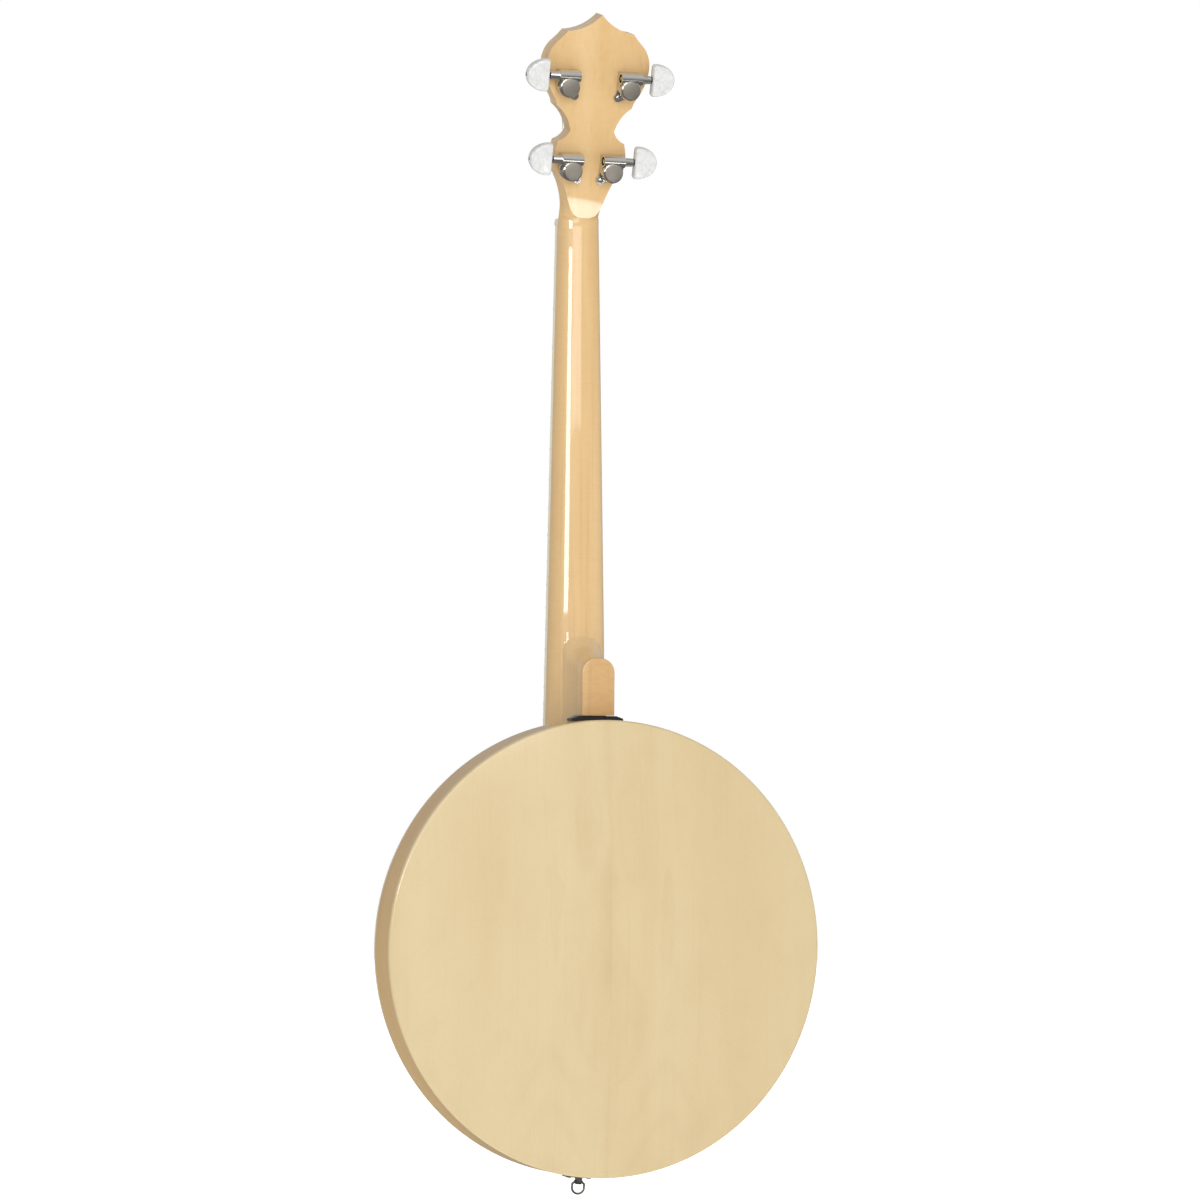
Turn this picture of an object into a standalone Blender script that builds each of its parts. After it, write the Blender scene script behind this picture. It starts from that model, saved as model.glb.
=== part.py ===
"""Four-string resonator banjo (tenor, 23 inch scale, 11 inch head), as an assembly of separate pieces.

Frame: the origin is on the centre line where the nut meets the end of the fretboard, on the glue plane
between neck and fretboard. +X is to the right seen from the back, +Y is towards the strings, and +Z runs
up the neck to the headstock. Dimensions below are in millimetres; mesh points are written in metres.
"""

import math

import bmesh
import bpy
from mathutils import Matrix, Vector

MM = 0.001
GAP = 0.3

# Driving dimensions, mm
SCALE_LENGTH = 584.0
FRETBOARD_THICKNESS = 5.0
FRETBOARD_LENGTH = 410.0
NUT_HALF_WIDTH = 16.0
HALF_WIDTH_SLOPE = 0.0191
NECK_DEPTH_NUT = 16.0
NECK_DEPTH_HEEL = 21.0
NECK_ROUNDNESS = 2.4
NECK_FOOT_Z = -383.0
TAPER_LENGTH = 300.0

HEAD_ANGLE = math.radians(14.0)
HEAD_THICKNESS = 14.5
BEND_START = -24.0
BEND_LENGTH = 30.0
FLAT_START = 8.0
FLAT_FULL = 40.0
SCOOP_RATE = 0.08

POT_Z = -549.0
HEAD_PLANE = -5.0
RIM_RADIUS = 139.7
RIM_WALL = 19.0
RIM_BACK = -66.0
HOOP_RADIUS = 147.0
HOOP_BACK = -21.0
RESONATOR_RADIUS = 171.5
RESONATOR_FRONT = -39.5
RESONATOR_RIM_BACK = -75.0
RESONATOR_DOME = 11.4
RESONATOR_WALL = 6.0
RESONATOR_PLATE = 3.0
FLANGE_THICKNESS = 2.6
HOOK_COUNT = 18
HOOK_RADIUS = 150.5
HOOK_SHANK = 2.0
SLOT_RADIUS = 155.5
RING_STEPS = 54

HEEL_CAP_FACE = -54.0
HEEL_CAP_HALF_WIDTH = 13.0
HEEL_CAP_TOP = -331.0
HEEL_CAP_THICKNESS = 3.0
HEEL_CAP_SHOULDER = 11.0
HEEL_END = -374.2
HEEL_ARCH_TOP = -305.0
HEEL_ARCH_HALF_WIDTH = 17.0
HEEL_ARCH_SHOULDER = 24.0
HEEL_ARCH_Y = -12.0
HEEL_FOOT_HALF_WIDTH = 19.0
CHANNEL_HALF_WIDTH = 3.2
CHANNEL_DEPTH = 7.0

STRING_RADIUS = 0.4
NUT_SPREAD = 11.5
BRIDGE_SPREAD = 19.5
BRIDGE_Z = -SCALE_LENGTH
BRIDGE_TOP = 11.0
BRIDGE_HALF_LENGTH = 33.0
TAILPIECE_TIP_Z = -640.0
TAILPIECE_SPREAD = 13.5

# Tuning machines: post axes on the headstock as (half spacing, distance above the nut)
LOWER_POSTS = (16.4, 45.0)
UPPER_POSTS = (24.5, 108.5)
POST_RADIUS = 3.0
WORM_OFFSET = 8.3
WORM_HEIGHT = 7.0
WORM_CORE = 1.9
WORM_TIP = 3.0
SHAFT_RADIUS = 1.7
WHEEL_TEETH = 14
WHEEL_TIP = 5.9
WHEEL_ROOT = 4.9
WORM_PITCH = 2.625
BUTTON_INNER = 16.8
BUTTON_OUTER = 35.0
BUTTON_HALF_LENGTH = 12.5

STRAP_ANGLE = math.radians(4.0)
STRAP_Y = -50.0
STRAP_RING_STAND = 2.6
STRAP_RING_WIRE = 0.8
STRAP_PLATE_HALF_LENGTH = 12.0
STRAP_PLATE_HALF_WIDTH = 4.0

MAPLE = ((0.82, 0.66, 0.42), 0.25, 0.0)
MAPLE_PALE = ((0.84, 0.72, 0.50), 0.3, 0.0)
MAPLE_SIDE = ((0.62, 0.45, 0.26), 0.3, 0.0)
ROSEWOOD = ((0.09, 0.045, 0.03), 0.45, 0.0)
EBONY = ((0.02, 0.018, 0.016), 0.4, 0.0)
BONE = ((0.86, 0.83, 0.74), 0.35, 0.0)
NICKEL = ((0.72, 0.70, 0.66), 0.18, 1.0)
BRONZE = ((0.62, 0.45, 0.22), 0.3, 1.0)
STEEL = ((0.62, 0.62, 0.62), 0.3, 1.0)
PEARLOID = ((0.9, 0.9, 0.88), 0.2, 0.0)
COATED_HEAD = ((0.88, 0.87, 0.83), 0.6, 0.0)
BLACK_FELT = ((0.012, 0.012, 0.013), 0.8, 0.0)


# Helpers

def clear_scene():
    for obj in list(bpy.data.objects):
        bpy.data.objects.remove(obj, do_unlink=True)


def material(name, look):
    colour, roughness, metallic = look
    mat = bpy.data.materials.new(name)
    mat.use_nodes = True
    shader = mat.node_tree.nodes["Principled BSDF"]
    shader.inputs["Base Color"].default_value = (*colour, 1.0)
    shader.inputs["Roughness"].default_value = roughness
    shader.inputs["Metallic"].default_value = metallic
    return mat


def mesh_from(bm, name, sharp_degrees=35.0):
    """A mesh in metres from a bmesh in millimetres, faces out, shaded smooth up to the sharp angle."""
    bmesh.ops.scale(bm, vec=(MM, MM, MM), verts=bm.verts)
    bmesh.ops.recalc_face_normals(bm, faces=bm.faces)
    mesh = bpy.data.meshes.new(name)
    bm.to_mesh(mesh)
    bm.free()
    mesh.shade_smooth()
    mesh.set_sharp_from_angle(angle=math.radians(sharp_degrees))
    return mesh


def place(name, mesh, look, location=(0, 0, 0), rotation=None, parent=None):
    """A visible sub-part. Location is in millimetres."""
    obj = bpy.data.objects.new(name, mesh)
    bpy.context.scene.collection.objects.link(obj)
    obj.location = Vector(location) * MM
    if rotation is not None:
        obj.rotation_euler = rotation
    if parent is not None:
        obj.parent = parent
    if look is not None and not mesh.materials:
        mesh.materials.append(material(name, look))
    return obj


def cutter(name, bm, location=(0, 0, 0), parent=None):
    """A helper solid for Booleans, never part of the build."""
    obj = place(name, mesh_from(bm, name), None, location, parent=parent)
    obj.hide_render = True
    obj.display_type = "WIRE"
    return obj


def boolean(target, tool, operation="DIFFERENCE"):
    modifier = target.modifiers.new(operation.lower(), "BOOLEAN")
    modifier.operation = operation
    modifier.object = tool


def loft(rings, closed_ends=True, bm=None):
    """Skins rings of points, all of one length, and caps the two ends."""
    bm = bm or bmesh.new()
    rows = [[bm.verts.new(point) for point in ring] for ring in rings]
    count = len(rows[0])
    for low, high in zip(rows, rows[1:]):
        for i in range(count):
            j = (i + 1) % count
            bm.faces.new((low[i], low[j], high[j], high[i]))
    if closed_ends:
        bm.faces.new(rows[0])
        bm.faces.new(rows[-1])
    return bm


def turned(profile, steps=RING_STEPS, angle=math.tau, start=0.0):
    """Spins a closed profile of (radius, y) points about the Y axis; part turns are capped."""
    bm = bmesh.new()
    turn = Matrix.Rotation(start, 3, "Y")
    verts = [bm.verts.new(turn @ Vector((r, y, 0))) for r, y in profile]
    edges = [bm.edges.new(pair) for pair in zip(verts, verts[1:] + verts[:1])]
    full = angle >= math.tau
    if not full:
        bm.faces.new(verts)
    geometry = verts + edges + list(bm.faces)
    bmesh.ops.spin(
        bm, geom=geometry, cent=(0, 0, 0), axis=(0, 1, 0), angle=angle, steps=steps, use_merge=full,
        use_duplicate=False,
    )
    bmesh.ops.remove_doubles(bm, verts=bm.verts, dist=1e-4)
    on_axis = [edge for edge in bm.edges if not edge.link_faces]
    bmesh.ops.delete(bm, geom=on_axis, context="EDGES")
    return bm


def rod(start, end, radius, sides=12, bm=None):
    """A straight round bar between two points."""
    start, end = Vector(start), Vector(end)
    side = (end - start).orthogonal().normalized() * radius
    rings = []
    for point in (start, end):
        spin = [Matrix.Rotation(math.tau * k / sides, 3, end - start) @ side for k in range(sides)]
        rings.append([point + offset for offset in spin])
    return loft(rings, bm=bm)


def box(low, high, bm=None):
    (x0, y0, z0), (x1, y1, z1) = low, high
    corners = ((x0, y0), (x1, y0), (x1, y1), (x0, y1))
    return loft([[(x, y, z) for x, y in corners] for z in (z0, z1)], bm=bm)


def prism(outline, depth_low, depth_high, to_point):
    """Extrudes a flat outline of (u, v) points; to_point maps (u, v, depth) to a place."""
    rings = [[to_point(u, v, depth) for u, v in outline] for depth in (depth_low, depth_high)]
    return loft(rings)


def arc(start, end, bulge, steps):
    """Points after start, up to end, along an arc that stands off its chord by bulge (left positive)."""
    (x0, y0), (x1, y1) = start, end
    chord = math.hypot(x1 - x0, y1 - y0)
    if abs(bulge) < 1e-6:
        return [end]
    half = 2.0 * math.atan(2.0 * bulge / chord)
    radius = chord / (2.0 * math.sin(half))
    mid_x, mid_y = (x0 + x1) / 2, (y0 + y1) / 2
    normal_x, normal_y = -(y1 - y0) / chord, (x1 - x0) / chord
    reach = radius * math.cos(half)
    centre = (mid_x - normal_x * reach, mid_y - normal_y * reach)
    start_angle = math.atan2(y0 - centre[1], x0 - centre[0])
    sweep = -2.0 * half
    points = []
    for k in range(1, steps + 1):
        a = start_angle + sweep * k / steps
        points.append((centre[0] + abs(radius) * math.cos(a), centre[1] + abs(radius) * math.sin(a)))
    return points


def circle(radius, sides, phase=0.0):
    angles = [phase + math.tau * k / sides for k in range(sides)]
    return [(radius * math.cos(a), radius * math.sin(a)) for a in angles]


def smooth_step(t):
    t = min(1.0, max(0.0, t))
    return t * t * (3.0 - 2.0 * t)


def half_width(z):
    """Half width of neck and fretboard at a height below the nut."""
    return NUT_HALF_WIDTH - HALF_WIDTH_SLOPE * z


def on_head(x, s, height):
    """A point on the headstock: x across, s up from the nut, height in front of its front face."""
    sine, cosine = math.sin(HEAD_ANGLE), math.cos(HEAD_ANGLE)
    return Vector((x, height * cosine - s * sine, s * cosine + height * sine))


# Neck and headstock

def headstock_half_outline():
    """Right half from the neck up to the peak, as (x, s) points: arcs between named corners."""
    corners = (
        ((15.6, 8.0), 0.0, 1),
        ((15.4, 14.0), 0.0, 1),
        ((26.7, 44.3), 2.3, 5),
        ((28.0, 61.3), -1.3, 4),
        ((26.7, 66.3), 0.0, 1),
        ((17.7, 74.9), 1.4, 4),
        ((30.3, 93.5), 2.2, 6),
        ((33.0, 100.0), 0.4, 2),
        ((41.4, 123.8), -1.8, 5),
        ((35.2, 140.8), -1.8, 5),
        ((26.5, 150.1), 0.3, 2),
        ((0.0, 163.4), 2.9, 7),
    )
    points = [(NUT_HALF_WIDTH, 0.0)]
    for corner, bulge, steps in corners:
        points += arc(points[-1], corner, bulge, steps)
    return points


def outline_half_width(s):
    """Half width of the headstock's lower part at a distance above the nut."""
    points = headstock_half_outline()
    for (x0, s0), (x1, s1) in zip(points, points[1:]):
        if s0 <= s <= s1:
            return x0 + (x1 - x0) * (s - s0) / (s1 - s0)
    return NUT_HALF_WIDTH


BACK_FRACTIONS = (0.0, 0.2, 0.42, 0.62, 0.78, 0.9, 0.97, 1.0)
FLAT_POINTS = 3


def neck_section(station):
    """Half a cross-section, from the middle of the back round to the front edge, as (x, depth)."""
    if station <= FLAT_START:
        width = half_width(station) if station < 0 else outline_half_width(station)
        along = min(1.0, -min(station, 0.0) / TAPER_LENGTH)
        depth = NECK_DEPTH_NUT + (NECK_DEPTH_HEEL - NECK_DEPTH_NUT) * along
        lead = max(0.0, station) / FLAT_START
        depth -= (NECK_DEPTH_NUT - HEAD_THICKNESS) * lead
        section = []
        for fraction in BACK_FRACTIONS:
            round_off = (1.0 - fraction**NECK_ROUNDNESS) ** (1.0 / NECK_ROUNDNESS)
            section.append((width * fraction, depth * round_off))
        return section
    width = outline_half_width(station)
    virtual = HEAD_THICKNESS + SCOOP_RATE * (station - FLAT_START) ** 2
    ratio = HEAD_THICKNESS / virtual
    full = station >= FLAT_FULL
    flat = width if full else width * math.sqrt(1.0 - ratio * ratio)
    section = [(flat * k / FLAT_POINTS, HEAD_THICKNESS) for k in range(FLAT_POINTS + 1)]
    steps = len(BACK_FRACTIONS) - 1 - FLAT_POINTS
    top = math.asin(min(1.0, ratio))
    for k in range(1, steps + 1):
        a = top * (1.0 - k / steps)
        x = width if full else width * math.cos(a)
        depth = HEAD_THICKNESS * (1.0 - k / steps) if full else virtual * math.sin(a)
        section.append((x, depth))
    return section


def neck_ring(station):
    """A full ring of points: front edge, round the back, and along the flat front."""
    tilt = HEAD_ANGLE * smooth_step((station - BEND_START) / BEND_LENGTH)
    base = Vector((0, 0, station)) if station <= 0.0 else on_head(0, station, 0)
    inward = Vector((0, -math.cos(tilt), -math.sin(tilt)))
    half = neck_section(station)
    left = [(-x, depth) for x, depth in reversed(half)]
    ring = left + half[1:]
    return [base + Vector((x, 0, 0)) + inward * depth for x, depth in ring]


def build_neck_mesh():
    """Shaft, transition and headstock as one closed skin."""
    shaft = [NECK_FOOT_Z, -340.0, -300.0, -250.0, -200.0, -150.0, -100.0, -60.0, -32.0]
    shaft += [BEND_START, -18.0, -12.0, -7.0, -3.0, 0.0, 4.0, FLAT_START - 0.4]
    transition = [8.5, 9.5, 11.0, 13.0, 16.0, 19.5, 24.0, 29.0, 34.0, FLAT_FULL]
    bm = bmesh.new()
    rows = []
    for station in shaft + transition:
        rows.append([bm.verts.new(point) for point in neck_ring(station)])
    for low, high in zip(rows, rows[1:]):
        for i in range(len(low) - 1):
            bm.faces.new((low[i], low[i + 1], high[i + 1], high[i]))
        bm.faces.new((low[-1], low[0], high[0], high[-1]))
    bm.faces.new(rows[0])
    last = rows[-1]
    upper = [(x, s) for x, s in headstock_half_outline() if s > FLAT_FULL + 1.0]
    rim = upper + [(-x, s) for x, s in reversed(upper[:-1])]
    front = [bm.verts.new(on_head(x, s, 0.0)) for x, s in rim]
    back = [bm.verts.new(on_head(x, s, -HEAD_THICKNESS)) for x, s in rim]
    for i in range(len(rim) - 1):
        bm.faces.new((front[i], front[i + 1], back[i + 1], back[i]))
    corner_left = len(BACK_FRACTIONS) - 1 - FLAT_POINTS
    corner_right = len(last) - 1 - corner_left
    bm.faces.new(last[corner_right:] + [front[0], back[0]])
    bm.faces.new(last[: corner_left + 1][::-1] + [front[-1], back[-1]])
    bm.faces.new([last[0]] + [last[-1]] + front)
    bm.faces.new(last[corner_left : corner_right + 1] + back)
    return bm


def heel_block_rings():
    """Level outlines of the heel block: from a wide arch inside the neck to the heel cap's outline."""
    cap_y = HEEL_CAP_FACE + HEEL_CAP_THICKNESS + GAP
    rings = []
    levels = 9
    for level in range(levels + 1):
        quarter = math.pi / 2 * level / levels
        blend_in = math.sin(quarter)
        y = HEEL_ARCH_Y + (cap_y - HEEL_ARCH_Y) * (1.0 - math.cos(quarter))
        width = HEEL_ARCH_HALF_WIDTH + (HEEL_CAP_HALF_WIDTH - HEEL_ARCH_HALF_WIDTH) * blend_in
        top = HEEL_ARCH_TOP + (HEEL_CAP_TOP - HEEL_ARCH_TOP) * blend_in
        shoulder = HEEL_ARCH_SHOULDER + (HEEL_CAP_SHOULDER - HEEL_ARCH_SHOULDER) * blend_in
        rings.append([(x, y, z) for x, z in rounded_top(width, top, shoulder, HEEL_END)])
    return rings


def rounded_top(half, top, shoulder, bottom, steps=7):
    """An upright outline whose top is two quarter ellipses, as (x, z) points."""
    flat = max(0.5, half - shoulder)
    right = [(half, bottom)]
    for k in range(steps + 1):
        a = math.pi / 2 * k / steps
        right.append((flat + (half - flat) * math.cos(a), top - shoulder + shoulder * math.sin(a)))
    return right + [(-x, z) for x, z in reversed(right)]


def build_neck():
    neck = place("neck", mesh_from(build_neck_mesh(), "neck"), MAPLE)
    boolean(neck, cutter("heel_block", loft(heel_block_rings())), "UNION")
    foot_back = RESONATOR_FRONT + FLANGE_THICKNESS + 1.2
    foot_low = (-HEEL_FOOT_HALF_WIDTH, foot_back, -FRETBOARD_LENGTH - 2.0)
    foot = box(foot_low, (HEEL_FOOT_HALF_WIDTH, -0.05, HEEL_END + 0.05))
    boolean(neck, cutter("heel_foot", foot), "UNION")
    against_rim = RIM_RADIUS + GAP
    round_hoop = HOOP_RADIUS + 2 * GAP
    below_hoop = HOOP_BACK - 2 * GAP
    seat = [(0.0, -70.0), (against_rim, -70.0), (against_rim, below_hoop), (round_hoop, below_hoop)]
    seat += [(round_hoop, 2.0), (0.0, 2.0)]
    boolean(neck, cutter("pot_clearance", turned(seat), (0, 0, POT_Z)))
    channel = box((-CHANNEL_HALF_WIDTH, -CHANNEL_DEPTH, -372.0), (CHANNEL_HALF_WIDTH, 1.0, -12.0))
    boolean(neck, cutter("truss_rod_channel", channel))
    holes = bmesh.new()
    for across, along in (LOWER_POSTS, UPPER_POSTS):
        for x in (-across, across):
            rod(on_head(x, along, -20), on_head(x, along, 6), POST_RADIUS + 1.3, 16, holes)
    boolean(neck, cutter("post_holes", holes))


def build_heel_trim():
    cap_rings = []
    edge = 0.5
    for lift, inset in ((HEEL_CAP_THICKNESS, 0.0), (edge, 0.0), (0.0, edge)):
        y = HEEL_CAP_FACE + lift
        shoulder = HEEL_CAP_SHOULDER - inset
        outline = rounded_top(HEEL_CAP_HALF_WIDTH - inset, HEEL_CAP_TOP - inset, shoulder, HEEL_END)
        cap_rings.append([(x, y, z) for x, z in outline])
    place("heel_cap", mesh_from(loft(cap_rings), "heel_cap"), MAPLE)
    top = [(20.0, HEEL_END - 1.6), (15.0, HEEL_END - GAP), (-15.0, HEEL_END - GAP), (-20.0, HEEL_END - 1.6)]
    lower = []
    on_wall = RESONATOR_RADIUS + GAP
    half_span = math.radians(6.9)
    steps = 8
    for k in range(steps + 1):
        a = half_span * (2.0 * k / steps - 1.0)
        lower.append((on_wall * math.sin(a), POT_Z + on_wall * math.cos(a)))
    pad_rings = []
    for y in (HEEL_CAP_FACE + 1.5, RESONATOR_FRONT - 1.5):
        pad_rings.append([(x, y, z) for x, z in top + lower])
    place("heel_pad", mesh_from(loft(pad_rings), "heel_pad"), BLACK_FELT)


def build_truss_rod():
    bm = rod((0, -3.6, -371.0), (0, -3.6, -13.0), 2.6, 8)
    place("truss_rod", mesh_from(bm, "truss_rod"), STEEL)


def build_fretboard():
    rings = []
    top = FRETBOARD_THICKNESS
    for z in (-FRETBOARD_LENGTH, -GAP):
        w = half_width(z)
        rings.append([(-w, GAP, z), (w, GAP, z), (w, top, z), (-w, top, z)])
    place("fretboard", mesh_from(loft(rings), "fretboard"), ROSEWOOD)


def build_nut():
    half = NUT_HALF_WIDTH - 0.2
    section = [(GAP, GAP), (GAP, 6.3), (1.2, 7.0), (4.6, 5.6), (5.2, 4.4), (5.2, GAP - 1.0)]
    bm = prism(section, -half, half, lambda z, y, x: Vector((x, y, z)))
    place("nut", mesh_from(bm, "nut"), BONE)


def build_truss_rod_cover():
    right = [(6.0, 8.5)] + arc((6.0, 8.5), (8.0, 20.0), -0.8, 3) + arc((8.0, 20.0), (0.0, 38.0), 1.6, 5)
    outline = right + [(-x, s) for x, s in reversed(right[:-1])]
    bm = prism(outline, GAP, GAP + 1.8, on_head)
    place("truss_rod_cover", mesh_from(bm, "truss_rod_cover"), EBONY)


# Tuning machines, each built in its own frame: x outwards across the headstock (mirrored on the left),
# y up the headstock and z out of its back face, with the origin on the post axis at the back face

def tuner_frame(name, side, post):
    across, along = post
    frame = bpy.data.objects.new(name, None)
    bpy.context.scene.collection.objects.link(frame)
    frame.location = on_head(side * across, along, -HEAD_THICKNESS) * MM
    frame.rotation_euler = (math.pi / 2 + HEAD_ANGLE, 0, 0)
    return frame


def bar_along_x(side, start, end, radius, sides, y=0.0, z=0.0):
    """A round bar along x with its first facet's corner square to z."""
    rings = []
    for x in (start, end):
        rings.append([(side * x, y + v, z + w) for v, w in circle(radius, sides, math.pi / sides)])
    return loft(rings)


def plate_along_z(outline, low, high):
    return loft([[(x, y, z) for x, y in outline] for z in (low, high)])


def disc_along_z(radius, low, high, sides=16):
    return plate_along_z(circle(radius, sides, math.pi / sides), low, high)


def mirrored(outline, side):
    return [(side * x, y) for x, y in outline]


def build_housing(name, side, frame):
    """Cast cover over worm and wheel, open towards the wood, with a collar and a screw tab."""
    base = mirrored([(-8.0, 0.0), (9.0, 0.0), (9.0, 12.6), (-8.0, 12.6)], side)
    body = place(name, mesh_from(plate_along_z(base, GAP, 6.6), name), NICKEL, parent=frame)
    worm_line = {"y": WORM_OFFSET, "z": WORM_HEIGHT}
    screw_place, tab_radius = -6.9, 2.9
    tab_turns = [math.radians(135.0 + 30.0 * k) for k in range(7)]
    tab = [(-2.0, -6.0), (-6.0, -2.0)]
    for a in tab_turns:
        tab.append((screw_place + tab_radius * math.cos(a), screw_place + tab_radius * math.sin(a)))
    added = {
        "barrel": bar_along_x(side, -8.2, 9.2, 4.6, 12, **worm_line),
        "round_cover": disc_along_z(8.0, GAP + 0.1, 11.0),
        "cap": disc_along_z(6.7, 10.0, 12.0),
        "collar": bar_along_x(side, 8.0, 16.0, 3.25, 10, **worm_line),
        "tab": plate_along_z(mirrored(tab, side), GAP + 0.2, GAP + 1.8),
    }
    for part, bm in added.items():
        boolean(body, cutter(f"{name}_{part}", bm, parent=frame), "UNION")
    passage = mirrored([(-3.4, 2.0), (3.4, 2.0), (3.4, 7.6), (-3.4, 7.6)], side)
    removed = {
        "wheel_room": disc_along_z(6.6, -1.0, 9.4, 12),
        "worm_room": bar_along_x(side, -9.0, 7.2, 3.5, 10, **worm_line),
        "passage": plate_along_z(passage, 4.7, 9.2),
        "bore": bar_along_x(side, 6.0, 17.0, SHAFT_RADIUS + 0.15, 12, **worm_line),
    }
    for part, bm in removed.items():
        boolean(body, cutter(f"{name}_{part}", bm, parent=frame))


def thread_radius(x, turn):
    """Radius of the worm's surface at a place along it and an angle round it."""
    crest_half, flank = 0.28, 0.34
    from_ridge = (x / WORM_PITCH - turn / math.tau + 0.5) % 1.0 - 0.5
    rise = (crest_half + flank - abs(from_ridge) * WORM_PITCH) / flank
    return WORM_CORE + (WORM_TIP - WORM_CORE) * min(1.0, max(0.0, rise))


def build_worm(name, side, frame):
    """Shaft with one helical thread that drives the wheel, centred on its own axis."""
    sides = 12
    stations = [(-7.6, SHAFT_RADIUS), (-3.2, SHAFT_RADIUS)]
    steps_per_turn = 6
    for k in range(-steps_per_turn, steps_per_turn + 1):
        stations.append((WORM_PITCH * k / steps_per_turn, None))
    stations += [(3.2, SHAFT_RADIUS), (22.0, SHAFT_RADIUS)]
    rings = []
    for x, radius in stations:
        ring = []
        for k in range(sides):
            turn = math.tau * k / sides
            r = radius or thread_radius(x, turn)
            ring.append((side * x, -r * math.cos(turn), -r * math.sin(turn)))
        rings.append(ring)
    place(name, mesh_from(loft(rings), name), STEEL, (0, WORM_OFFSET, WORM_HEIGHT), parent=frame)


def build_post(name, frame):
    """String post with its toothed wheel, turned about the post axis."""
    front = -HEAD_THICKNESS
    profile = [
        (9.1, 2.2), (-12.0, 2.2), (-12.6, POST_RADIUS), (front - 5.5, POST_RADIUS), (front - 7.0, 2.3),
        (front - 9.0, 2.3), (front - 10.5, POST_RADIUS), (front - 15.0, POST_RADIUS), (front - 16.0, 2.0),
    ]
    rings = [[(x, y, z) for x, y in circle(radius, 12)] for z, radius in profile]
    body = place(name, mesh_from(loft(rings), name), STEEL, parent=frame)
    outline = []
    step = math.tau / WHEEL_TEETH
    for tooth in range(WHEEL_TEETH):
        middle = math.pi / 2 + step * (tooth + 0.5)
        for radius, share in ((WHEEL_ROOT, -0.3), (WHEEL_TIP, -0.1), (WHEEL_TIP, 0.1), (WHEEL_ROOT, 0.3)):
            a = middle + share * step
            outline.append((radius * math.cos(a), radius * math.sin(a)))
    wheel = plate_along_z(outline, WORM_HEIGHT - 1.8, WORM_HEIGHT + 1.8)
    boolean(body, cutter(f"{name}_wheel", wheel, parent=frame), "UNION")


def build_button(name, side, frame):
    """Half-moon button with a blind hole for the end of the worm shaft."""
    widest = BUTTON_INNER + 2.6
    half = BUTTON_HALF_LENGTH
    right = [(BUTTON_INNER, half - 3.0)]
    right += arc(right[-1], (widest, half), 1.0, 2)
    steps = 7
    for k in range(1, steps + 1):
        a = math.pi / 2 * (1 - k / steps)
        right.append((widest + (BUTTON_OUTER - widest) * math.cos(a), half * math.sin(a)))
    outline = right + [(x, -y) for x, y in reversed(right[:-1])]
    middle = (BUTTON_INNER + BUTTON_OUTER) / 2 - 0.5
    rings = []
    for lift, size in ((-3.9, 0.82), (-2.2, 0.97), (0.0, 1.0), (2.2, 0.97), (3.9, 0.82)):
        ring = []
        for x, y in outline:
            shrunk = max(BUTTON_INNER, middle + (x - middle) * size)
            ring.append((side * shrunk, y * size, lift))
        rings.append(ring)
    body = place(name, mesh_from(loft(rings), name), PEARLOID, (0, WORM_OFFSET, WORM_HEIGHT), parent=frame)
    hole = bar_along_x(side, BUTTON_INNER - 1.0, 22.4, SHAFT_RADIUS + GAP, 10)
    boolean(body, cutter(f"{name}_hole", hole, (0, WORM_OFFSET, WORM_HEIGHT), parent=frame))


# String number to the side of the headstock and the posts it winds on
TUNERS = {1: (-1, LOWER_POSTS), 2: (-1, UPPER_POSTS), 3: (1, UPPER_POSTS), 4: (1, LOWER_POSTS)}


def build_tuners():
    for number, (side, post) in TUNERS.items():
        frame = tuner_frame(f"tuner_{number}", side, post)
        build_housing(f"tuner_housing_{number}", side, frame)
        build_worm(f"tuner_worm_{number}", side, frame)
        build_post(f"tuner_post_{number}", frame)
        build_button(f"tuner_button_{number}", side, frame)


def string_x(number, spread):
    """Sideways place of a string: string 1 on the left seen from the back, string 4 on the right."""
    return spread * (-1.0 + 2.0 * (number - 1) / (len(TUNERS) - 1))


def build_strings():
    for number, (side, post) in TUNERS.items():
        across, along = post
        beside_post = across - POST_RADIUS - STRING_RADIUS - GAP
        route = [
            on_head(side * beside_post, along, 8.0),
            Vector((string_x(number, NUT_SPREAD), 7.9, 1.2)),
            Vector((string_x(number, BRIDGE_SPREAD), BRIDGE_TOP + GAP + STRING_RADIUS, BRIDGE_Z)),
            Vector((string_x(number, TAILPIECE_SPREAD), 4.6, TAILPIECE_TIP_Z + 0.5)),
        ]
        rings = []
        for point in route:
            rings.append([point + Vector((x, y, 0)) for x, y in circle(STRING_RADIUS, 6)])
        place(f"string_{number}", mesh_from(loft(rings), f"string_{number}"), STEEL)


# Pot

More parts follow.
